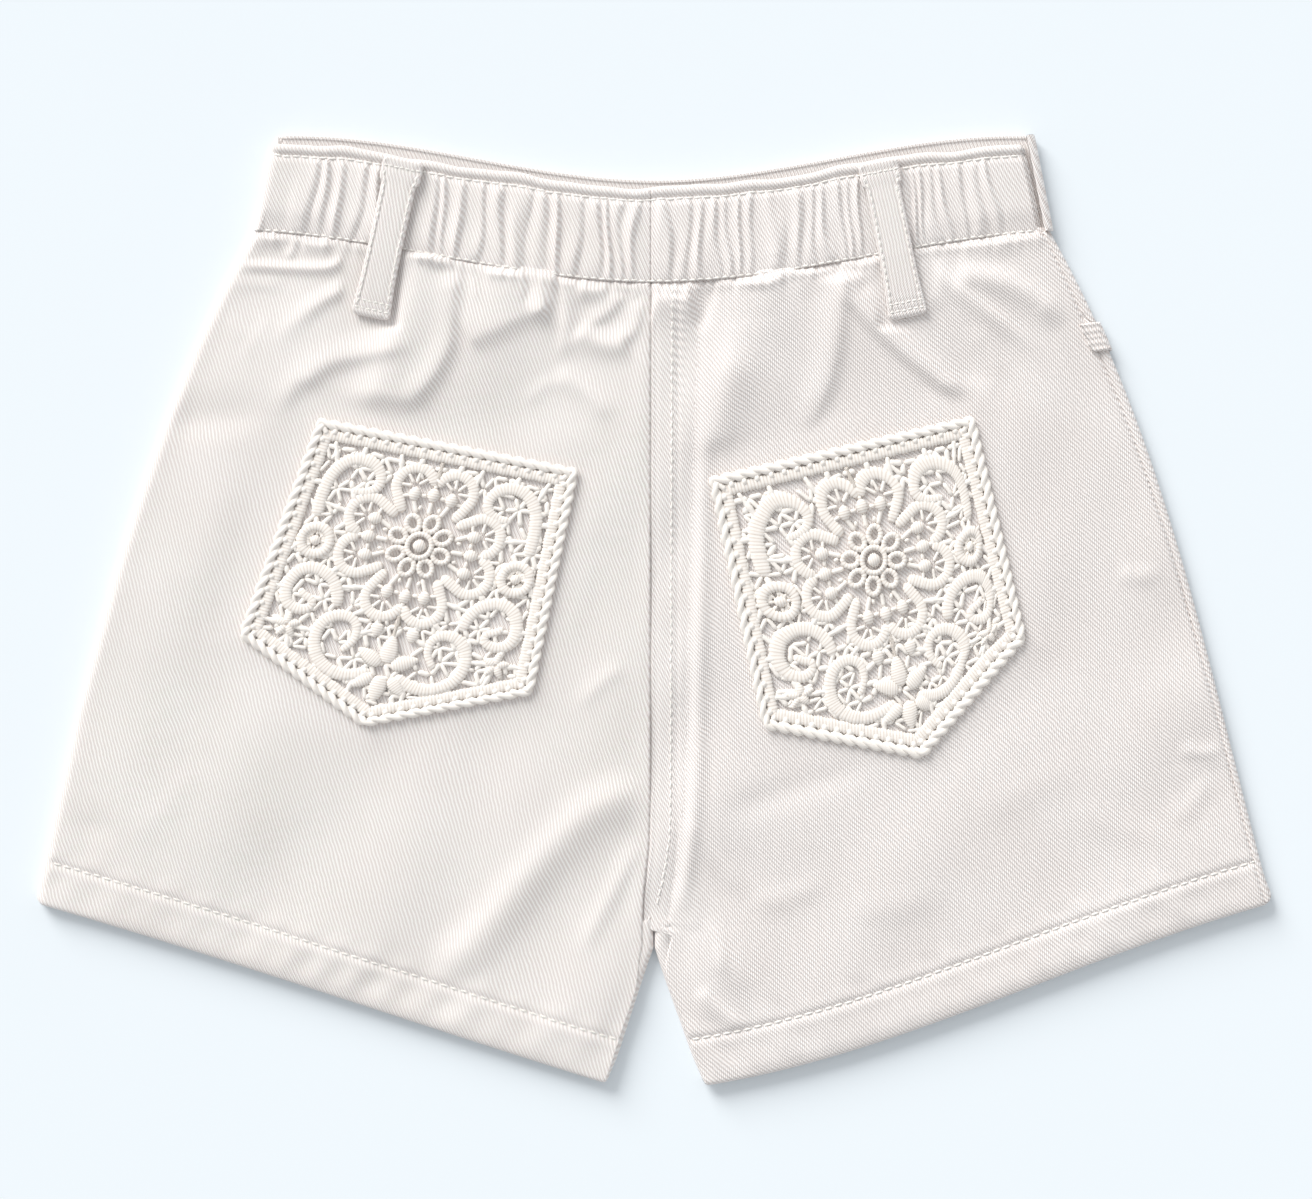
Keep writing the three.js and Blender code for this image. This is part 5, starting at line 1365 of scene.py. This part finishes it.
# Bars of the ground from one cord to the next, left half.
BARS = [
    ((0, -6), (0, -16)), ((-6.4, -6), (-6.4, -9)), ((-13.5, -6), (-12, -12)), ((-25, -6), (-25, -10)),
    ((-35, -6), (-32, -15)), ((-40, -20), (-34, -20)), ((-34.4, -31), (-33.4, -35)),
    ((-34, -26), (-23, -28)), ((-26, -20), (-23, -25)), ((-34, -36), (-42, -46)),
    ((-26.5, -49), (-21, -44)), ((-22, -52), (-11, -50)), ((-42, -55), (-36, -55)),
    ((-43, -66), (-34, -66.8)), ((-34, -67), (-35.5, -59)), ((-34, -66.8), (-23, -67.5)),
    ((-34, -66.8), (-31, -77)), ((-15, -60), (-9, -56)), ((-5.8, -64), (-6.4, -57)),
    ((-5.8, -63), (-13, -66)), ((0, -54), (0, -66)), ((-8, -78), (-9, -86)),
]
POCKET_OUTLINE = [
    (-POCKET_MOUTH_HALF, 0), (-POCKET_BASE_HALF, -POCKET_SIDE_DEPTH), (0, -POCKET_POINT_DEPTH),
    (POCKET_BASE_HALF, -POCKET_SIDE_DEPTH), (POCKET_MOUTH_HALF, 0)]
# The chain edge: how far in it lies, half a strand's width, and how far a strand sways. Then the frame cord.
CHAIN_INSET, CHAIN_HALF, CHAIN_SWAY = 1.5, 0.95, 0.72
FRAME_INSET, FRAME_WIDTH = 4.75, 3.8
# How far the design sits off the pocket's middle.
DESIGN_SHIFT = {"left": (0.0, 0.0), "right": (2.2, -1.8)}
# The ground: spacing of its knots, longest bar in spacings, share of bars left out, and how far knots stray.
GROUND_PITCH, GROUND_REACH, GROUND_GAPS, GROUND_STRAY = 5.0, 1.3, 0.3, 0.75
# How boxy a cord's section is: 1 is an ellipse, and less is boxier.
CORD_SQUARENESS = 0.62
# Where along a wrap the painted shade of an unwrapped cord is taken from; the chain and the bars get this even
# painted shade.
CLEAR_THREAD = 0.2
# A batch of cords is put aside once it has this many vertices.
BATCH = 2500


def inset_outline(distance):
    """Corners of the pocket's outline, moved in."""
    points = [Vector(corner) for corner in POCKET_OUTLINE]
    moved = []
    for i, corner in enumerate(points):
        arriving = (corner - points[i - 1]).normalized()
        leaving = (points[(i + 1) % len(points)] - corner).normalized()
        inward = Vector((-arriving.y - leaving.y, arriving.x + leaving.x)).normalized()
        half = abs(inward.x * arriving.y - inward.y * arriving.x)
        moved.append(corner + inward * distance / half)
    return np.array([tuple(corner) for corner in moved])


def resample(path, step, closed=False):
    """Points a step apart along a path, and the distance along it of each."""
    path = np.asarray(path, float)
    if closed:
        path = np.concatenate([path, path[:1]])
    along = np.concatenate([[0], np.cumsum(np.linalg.norm(np.diff(path, axis=0), axis=1))])
    count = max(2, int(round(along[-1] / step)))
    count += count % 2
    places = np.linspace(0, along[-1], count + 1)
    if closed:
        places = places[:-1]
    return np.stack([np.interp(places, along, path[:, k]) for k in range(2)], -1), places


class LaceMaker:
    """Makes one pocket's cords in the pocket's own design space and lays them on the cloth."""

    def __init__(self, half, wrap_pitch):
        self.wrap_pitch = wrap_pitch
        self.place = POCKET_PLACES[half]
        self.shift = DESIGN_SHIFT[half]
        self.chance = np.random.default_rng(len(half))
        self.batches = []
        self.start_batch()

    def start_batch(self):
        """Begins an empty mesh that notes the wraps in a UV map."""
        self.bm = bmesh.new()
        self.wraps = self.bm.loops.layers.uv.new("wraps")

    def bank_batch(self):
        """Puts the cords made so far aside, since a small mesh is quicker to add to than a large one."""
        mesh = bpy.data.meshes.new("lace batch")
        self.bm.to_mesh(mesh)
        self.bm.free()
        self.batches.append(mesh)

    def lay(self, xyz):
        """Lays places of the design on the cloth, the middle of it shifted over, in metres."""
        x, y = xyz[..., 0], xyz[..., 1]
        inner = smooth((np.minimum.reduce(side_clearances(POCKET_OUTLINE, x, y)) - FRAME_INSET - 1) / 10)
        flat = pocket_point(self.place, x + self.shift[0] * inner, y + self.shift[1] * inner)
        base = BODY_TOP + POCKET_GAP - 0.1
        return np.concatenate([flat, (base + xyz[..., 2])[..., None]], -1) * MM

    def tube(self, centre, half_width, bottom, height, turns, sides=10, closed=False):
        """A rounded cord through centre points: a grid rolled up and welded. turns counts its wraps."""
        count = len(centre)
        if closed:
            ahead, behind = np.roll(centre, -1, 0), np.roll(centre, 1, 0)
        else:
            ahead = np.concatenate([centre[1:], centre[-1:]])
            behind = np.concatenate([centre[:1], centre[:-1]])
        direction = ahead - behind
        direction /= np.maximum(1e-9, np.linalg.norm(direction, axis=1, keepdims=True))
        normal = np.stack([-direction[:, 1], direction[:, 0]], -1)
        if not closed:
            ends = np.ones(count)
            ends[0] = ends[-1] = 0
            bottom, height, half_width = bottom + height * (1 - ends) / 2, height * ends, half_width * ends
        turn = np.linspace(0, 2 * math.pi, sides + 1)[None, :]
        side = np.cos(turn) * half_width[:, None]
        bulge = np.sign(np.sin(turn)) * np.abs(np.sin(turn)) ** CORD_SQUARENESS
        up = bottom[:, None] + height[:, None] * (1 + bulge) / 2
        xyz = np.concatenate([
            centre[:, None, :] + normal[:, None, :] * side[..., None], up[..., None]], -1)
        if closed:
            xyz = np.concatenate([xyz, xyz[:1]])
            turns = np.append(turns, 2 * turns[-1] - turns[-2])
            count += 1
        points = self.lay(xyz)
        made = bmesh.ops.create_grid(self.bm, x_segments=sides, y_segments=count - 1, size=0.5)["verts"]
        for vertex in made:
            i = round((vertex.co.x + 0.5) * sides)
            j = round((vertex.co.y + 0.5) * (count - 1))
            for loop in vertex.link_loops:
                loop[self.wraps].uv = (turns[j], i / sides)
            vertex.co = points[j, i]
        bmesh.ops.remove_doubles(self.bm, verts=made, dist=1e-7)
        if len(self.bm.verts) > BATCH:
            self.bank_batch()
            self.start_batch()

    def cord(self, path, width, height=0.62 * LACE_CORD, closed=False, sides=10, lift=0.0, groups=0.0):
        """A padded cord with a thread wrapped round it. width is one number or shares and widths along it."""
        centre, along = resample(path, self.wrap_pitch / 2, closed)
        share = along / max(along[-1], 1e-6)
        widths = np.full(len(centre), float(width)) if np.isscalar(width) else table(width, share)
        ridge = np.where(np.arange(len(centre)) % 2 == 0, 1.0, 0.87)
        ridge = ridge * (1 + 0.03 * self.chance.standard_normal(len(centre)))
        swell = 1 + groups * np.cos(2 * math.pi * along / 4.3)
        half_width = widths / 2 * ridge * swell
        tall = height * ridge * (0.85 + 0.15 * widths / widths.max()) * (1 + 0.5 * (swell - 1))
        if not closed:
            ends = np.sqrt(np.clip(np.minimum(along, along[-1] - along) / (widths / 2), 0, 1))
            half_width, tall = half_width * ends, tall * (0.15 + 0.85 * ends)
        bottom, turns = np.full(len(centre), lift), np.arange(len(centre)) / 2
        self.tube(centre, half_width, bottom, tall, turns, sides, closed)

    def bar(self, a, b, width=1.3, height=0.9, knot=0.0, lift=0.1, step=0.6):
        """A thin twisted bar of the ground, with a small knot in the middle."""
        centre, along = resample([a, b], step)
        twist = 1 + 0.06 * np.cos(math.pi * np.arange(len(centre)))
        bulge = 1 + knot * bell(along - along[-1] / 2, 1.0)
        bottom, turns = np.full(len(centre), lift), np.full(len(centre), CLEAR_THREAD)
        self.tube(centre, width / 2 * twist * bulge, bottom, height * twist * bulge**0.5, turns, 6)

    def leaf(self, x, y, angle, length, wide, height=1.3, lift=0.3, notch=0.7):
        """A bud or leaf of threads wrapped side by side across its rib."""
        turn = math.radians(angle)
        tip = (x + length * math.cos(turn), y + length * math.sin(turn))
        centre, along = resample([(x, y), tip], 0.42)
        share = along / along[-1]
        ridge = np.where(np.arange(len(centre)) % 2 == 0, 1.0, 0.86)
        shape = np.sin(math.pi * np.clip(share, 0.02, 0.985) ** notch) ** 0.7
        self.tube(centre, wide / 2 * shape * ridge, np.full(len(centre), lift), height * shape ** 0.5 * ridge,
                  np.arange(len(centre)) / 2, 8)

    def finish(self, name):
        """Joins the batches into one mesh, faces outward."""
        self.bank_batch()
        whole = bmesh.new()
        for batch in self.batches:
            whole.from_mesh(batch)
            bpy.data.meshes.remove(batch)
        bmesh.ops.recalc_face_normals(whole, faces=whole.faces)
        return smooth_mesh(whole, name)


def petal_place(angle, out, aside):
    turn = math.radians(angle)
    return (FLOWER[0] + out * math.cos(turn) - aside * math.sin(turn),
            FLOWER[1] + out * math.sin(turn) + aside * math.cos(turn))


def lobe_place(angle, side, round_to, radius=LOBE_RADIUS):
    """A place on a petal's round lobe, or inside it on a smaller radius."""
    turn = math.radians(round_to)
    out, aside = LOBE_OUT + radius * math.cos(turn), LOBE_ASIDE + radius * math.sin(turn)
    return petal_place(angle, out, side * aside)


def around(angle, distance, centre=FLOWER):
    turn = math.radians(angle)
    return (centre[0] + distance * math.cos(turn), centre[1] + distance * math.sin(turn))


def circle_path(x, y, radius, count=36):
    turn = np.linspace(0, 2 * math.pi, count + 1)[:-1]
    return np.stack([x + radius * np.cos(turn), y + radius * np.sin(turn)], -1)


def oval_path(angle, distance, long, wide, count=28):
    """An oval loop that points away from the flower's middle."""
    turn = np.linspace(0, 2 * math.pi, count + 1)[:-1]
    return np.array([petal_place(angle, distance + long * math.cos(t), wide * math.sin(t)) for t in turn])


def chain_edge(lace, link):
    """The crocheted edge: two strands that loop over each other, tied to the frame cord by short legs."""
    path, along = resample(inset_outline(CHAIN_INSET), 0.5, closed=True)
    whole = along[-1] + along[1]
    links = 2 * round(whole / link / 2)
    phase = math.pi * along * links / whole
    ahead, behind = np.roll(path, -1, 0), np.roll(path, 1, 0)
    direction = ahead - behind
    direction /= np.linalg.norm(direction, axis=1, keepdims=True)
    normal = np.stack([-direction[:, 1], direction[:, 0]], -1)
    for side in (1, -1):
        centre = path + normal * (side * CHAIN_SWAY * np.cos(phase))[:, None]
        bottom = 0.4 + 0.42 * side * np.sin(phase)
        half_width = CHAIN_HALF * (1 + 0.1 * np.cos(2 * phase))
        height, turns = np.full(len(path), 1.05), np.full(len(path), CLEAR_THREAD)
        lace.tube(centre, half_width, bottom, height, turns, 8, closed=True)
    legs, _ = resample(inset_outline(CHAIN_INSET + 0.8), whole / links, closed=True)
    roots, _ = resample(inset_outline(FRAME_INSET), 1.0, closed=True)
    for leg in legs:
        near = roots[np.argmin(np.linalg.norm(roots - leg, axis=1))]
        lace.bar(leg, near, width=1.9, height=1.2, lift=0.3)


def ground(lace):
    """The net of short bars between the cords, left open where the flower lies."""
    nodes = []
    for j in range(24):
        for i in range(-14, 15):
            x = (i + 0.5 * (j % 2)) * GROUND_PITCH
            y = -4 - j * GROUND_PITCH * 0.87
            stray = lace.chance.uniform(-GROUND_STRAY, GROUND_STRAY, 2)
            point = (x + stray[0], y + stray[1])
            if min(side_clearances(POCKET_OUTLINE, *point)) > FRAME_INSET:
                nodes.append(point)
    for a in range(len(nodes)):
        for b in range(a + 1, len(nodes)):
            far = math.dist(nodes[a], nodes[b]) > GROUND_PITCH * GROUND_REACH
            if far or lace.chance.random() < GROUND_GAPS:
                continue
            middle = ((nodes[a][0] + nodes[b][0]) / 2, (nodes[a][1] + nodes[b][1]) / 2)
            if math.dist(middle, FLOWER) < FLOWER_REACH:
                continue
            width = lace.chance.uniform(1.2, 1.8)
            lace.bar(nodes[a], nodes[b], width=width, height=0.85, lift=0.05, step=0.9)


def flower(lace):
    for angle in range(0, 360, 90):
        for side in (1, -1):
            lobe = [lobe_place(angle, side, turn) for turn in range(-84, 131, 10)]
            end = [petal_place(angle, 12.2, side * 9.7), petal_place(angle, 9.4, side * 8.0)]
            lace.cord(smooth_path([*lobe, *end], LOBE_STEPS), LOBE_WIDTH, lift=0.05)
            for turn in (-50, -5, 40, 90):
                lace.bar(lobe_place(angle, side, turn, 1.0), lobe_place(angle, side, turn, 5.0), width=1.1)
        for aside in (-6, 0, 6):
            x, y = petal_place(angle, 13.6 + 0.6 * (aside == 0), aside)
            lace.leaf(x, y, angle, 5.0, 4.3, height=1.7, notch=1.0)
            lace.bar(petal_place(angle, 10, aside * 0.62), petal_place(angle, 14.5, aside), width=1.5)
        lace.bar(petal_place(angle, 18, 0), petal_place(angle, 20.5, 0), width=1.4)
        for side in (1, -1):
            for *ends, width in PETAL_BARS:
                lace.bar(*(petal_place(angle, out, side * aside) for out, aside in ends), width=width)
    for k in range(8):
        lace.cord(oval_path(30 + 45 * k, 7.7, 2.6, 2.05), 1.9, height=1.5, closed=True, sides=7, lift=0.25)
    lace.cord(circle_path(*FLOWER, 3.9, 24), 1.9, height=1.7, closed=True, sides=8, lift=0.3)
    lace.leaf(FLOWER[0] - 2.3, FLOWER[1], 0, 4.6, 4.6, height=1.9, lift=0.6, notch=1.0)


def lace_pocket(half, settings):
    lace = LaceMaker(half, settings.wrap_pitch / MM)
    chain_edge(lace, settings.link / MM)
    lace.cord(inset_outline(FRAME_INSET), FRAME_WIDTH, closed=True, groups=0.06)
    ground(lace)
    flower(lace)
    for sign in (1, -1):
        flip = np.array([sign, 1])
        for path, width, tail in SCROLLS:
            widths = [(0, width * 0.9), (0.1, width), (0.6, width), (0.95, tail), (1, tail)]
            lace.cord(smooth_path(path, SCROLL_STEPS) * flip, widths, lift=0.1)
        x, y, radius, width = ROSETTE
        lace.cord(circle_path(sign * x, y, radius), width, height=1.7, closed=True, lift=0.05)
        lace.leaf(sign * x - 1.9, y, 0, 3.8, 3.6, height=1.7, notch=1.0)
        for k in range(8):
            lace.bar(around(45 * k, 1.4, (sign * x, y)), around(45 * k, 3.4, (sign * x, y)), width=1.0)
        for a, b in BARS:
            lace.bar((sign * a[0], a[1]), (sign * b[0], b[1]), width=1.5, knot=0.4)
        for x, y, angle, length, wide in LEAVES:
            if sign > 0 or x != 0:
                lace.leaf(sign * x, y, angle if sign > 0 else 180 - angle, length, wide)
    return lace.finish(f"lace_pocket_{half}_cords")


class SHORTS_OT_lace_pockets(bpy.types.Operator):
    """Work the two lace back pockets: padded frame, flower, scrolls, rosettes, leaves and chain edge"""

    bl_idname = "shorts.lace_pockets"
    bl_label = "Lace pockets"

    def execute(self, context):
        scene = context.scene
        for half in LEGS:
            mesh = lace_pocket(half, scene.shorts_lace)
            pocket = add_piece(mesh, lace_thread(scene), replaces=[f"lace_pocket_{half}"])
        return {"FINISHED"}


# ------------------------------------------------------------------ stitching


# Pitch, length, width and height of the stitches of each row, and how far they lie over the cloth.
STITCHES = {
    "band top": (2.9, 2.3, 0.75, 0.7, 0.08),
    "waist seam": (2.6, 1.9, 0.75, 0.7, 0.1),
    "loop side": (2.3, 1.8, 0.65, 0.6, 0.08),
    "loop tack": (1.7, 1.4, 0.7, 0.65, 0.08),
    "felled strip": (2.9, 2.3, 0.65, 0.6, 0.06),
}
# The hem's stitches: share of the pitch that shows, height, and how far they lie over the cloth.
HEM_STITCH_SHARE, HEM_STITCH_HEIGHT, HEM_STITCH_LIFT = 0.74, 0.7, 0.1


def hem_stitches(half, sewing):
    row = back_outer(half, np.array([HEM_V]), np.linspace(0.004, 0.997, 400))[0]
    pitch = sewing.hem_pitch / MM
    bm = bmesh.new()
    add_stitches(bm, row, pitch, pitch * HEM_STITCH_SHARE, sewing.thread_width / MM, HEM_STITCH_HEIGHT,
                 HEM_STITCH_LIFT)
    return bm


def band_stitches():
    bm = bmesh.new()
    rows, _ = band_grid()
    for half in LEGS:
        points = back_band_points(half)
        if half == "left":
            points = points[:, ::-1]
        for kind, share in BAND_STITCH_ROWS.items():
            row = int(np.argmin(np.abs(rows - share)))
            add_stitches(bm, points[row, :-6], *STITCHES[kind])
    return bm


def loop_stitches():
    bm = bmesh.new()
    for half in LEGS:
        points, top, length = loop_points(half)
        columns = points.shape[1]
        for column in (5, columns - 6):
            add_stitches(bm, points[10:-8, column], *STITCHES["loop side"])
        down = np.linalg.norm(points[:, columns // 2, :2] - top, axis=1)
        for distance in (LOOP_TACKS[0], length - LOOP_TACKS[1], length - LOOP_TACKS[2]):
            row = int(np.argmin(np.abs(down - distance)))
            add_stitches(bm, points[row, 3:-3], *STITCHES["loop tack"])
    return bm


def strip_stitches():
    """Both rows down the felled strip, which end a little above the crotch."""
    leg = LEGS["right"]
    bm = bmesh.new()
    for places in FELL_ROWS.values():
        points = []
        for level in np.linspace(0.004, BACK_CROTCH_V - 0.03, 300):
            x = float(table(places, leg.plan(0.03, level)[1]))
            row_width = float(np.linalg.norm(leg.plan(1, level) - leg.plan(0, level)))
            share = (x - BACK_SEAM_X - SEAM_GAP / 2) / row_width
            points.append(back_outer("right", np.array([level]), np.array([share]))[0, 0])
        add_stitches(bm, np.array(points), *STITCHES["felled strip"])
    return bm


class SHORTS_OT_stitching(bpy.types.Operator):
    """Sew the visible rows: hems, waist seam, top of the band, belt loops, felled strip and bar tacks"""

    bl_idname = "shorts.stitching"
    bl_label = "Stitching"

    def execute(self, context):
        scene = context.scene
        thread = sewing_thread(scene)
        for half in LEGS:
            add_piece(smooth_mesh(hem_stitches(half, scene.shorts_sewing), f"hem_stitches_{half}"), thread)
        add_piece(smooth_mesh(band_stitches(), "waistband_stitches"), thread)
        add_piece(smooth_mesh(loop_stitches(), "belt_loop_stitches"), thread)
        add_piece(smooth_mesh(strip_stitches(), "felled_strip_stitches"), thread)
        return {"FINISHED"}


# ------------------------------------------------------------------ stage


CAMERA_X, CAMERA_Y = 0.00064, 0.00368
CAMERA_LENS, CAMERA_SENSOR = 90, 36
FLOOR_DROP = 0.0001
KEY_SIZE = math.radians(34)
KEY_COLOUR = (1.0, 0.985, 0.965)
ROOM_COLOUR = (0.97, 0.985, 1.0, 1)


def add_to_scene(scene, name, data):
    made = bpy.data.objects.new(name, data)
    scene.collection.objects.link(made)
    return made


def add_camera(scene, height):
    camera = bpy.data.cameras.new("camera")
    camera.lens = CAMERA_LENS
    camera.sensor_width = CAMERA_SENSOR
    camera.clip_end = 10
    scene.camera = add_to_scene(scene, "camera", camera)
    scene.camera.location = (CAMERA_X, CAMERA_Y, height)


def add_floor(scene, size, colour):
    bm = bmesh.new()
    bmesh.ops.create_grid(bm, x_segments=4, y_segments=4, size=size / 2)
    mesh = bpy.data.meshes.new("floor")
    bm.to_mesh(mesh)
    bm.free()
    mesh.materials.append(floor_finish("pale floor", colour))
    floor = add_to_scene(scene, "floor", mesh)
    floor.location.z = -FLOOR_DROP


def add_key_light(scene, strength, height, turn):
    key = bpy.data.lights.new("key light", "SUN")
    key.energy = strength
    key.angle = KEY_SIZE
    key.color = KEY_COLOUR
    level = math.cos(height)
    direction = Vector((level * math.cos(turn), level * math.sin(turn), math.sin(height)))
    light = add_to_scene(scene, "key light", key)
    light.rotation_euler = direction.to_track_quat("Z", "Y").to_euler()
    light.location = direction


def add_room(scene, strength):
    world = bpy.data.worlds.new("soft room")
    world.use_nodes = True
    background = world.node_tree.nodes["Background"]
    background.inputs["Color"].default_value = ROOM_COLOUR
    background.inputs["Strength"].default_value = strength
    scene.world = world
    scene.view_settings.view_transform = "Standard"


class SHORTS_OT_stage(bpy.types.Operator):
    """Set out the pale floor, the soft light and the camera straight above"""

    bl_idname = "shorts.stage"
    bl_label = "Stage"

    def execute(self, context):
        scene = context.scene
        stage = scene.shorts_stage
        add_camera(scene, stage.camera_height)
        add_floor(scene, stage.floor_size, tuple(stage.floor_colour))
        add_key_light(scene, stage.key, stage.key_height, stage.key_turn)
        add_room(scene, stage.ambient)
        return {"FINISHED"}


class SHORTS_PT_panel(bpy.types.Panel):
    """Lists the pieces of the shorts"""

    bl_label = "Shorts"
    bl_idname = "SHORTS_PT_panel"
    bl_space_type = "VIEW_3D"
    bl_region_type = "UI"
    bl_category = "Shorts"

    def draw(self, context):
        scene = context.scene
        for group in (scene.shorts_cloth, scene.shorts_lace, scene.shorts_sewing, scene.shorts_stage):
            box = self.layout.box()
            for name in group.__annotations__:
                box.prop(group, name)
        for operator in OPERATORS:
            self.layout.operator(operator.bl_idname)


OPERATORS = (
    SHORTS_OT_stage, SHORTS_OT_back_panels, SHORTS_OT_front_panels, SHORTS_OT_waistband, SHORTS_OT_belt_loops,
    SHORTS_OT_lace_pockets, SHORTS_OT_stitching,
)
SETTINGS = {
    "shorts_cloth": ClothSettings, "shorts_lace": LaceSettings, "shorts_sewing": SewingSettings,
    "shorts_stage": StageSettings,
}


def register():
    for group in SETTINGS.values():
        bpy.utils.register_class(group)
    for name, group in SETTINGS.items():
        setattr(bpy.types.Scene, name, bpy.props.PointerProperty(type=group))
    for operator in OPERATORS:
        bpy.utils.register_class(operator)
    bpy.utils.register_class(SHORTS_PT_panel)


def unregister():
    bpy.utils.unregister_class(SHORTS_PT_panel)
    for operator in reversed(OPERATORS):
        bpy.utils.unregister_class(operator)
    for name, group in SETTINGS.items():
        delattr(bpy.types.Scene, name)
        bpy.utils.unregister_class(group)


def main():
    register()
    bpy.ops.shorts.stage()
    bpy.ops.shorts.back_panels()
    bpy.ops.shorts.front_panels()
    bpy.ops.shorts.waistband()
    bpy.ops.shorts.belt_loops()
    bpy.ops.shorts.lace_pockets()
    bpy.ops.shorts.stitching()
    bpy.context.view_layer.update()


if __name__ == "__main__":
    main()
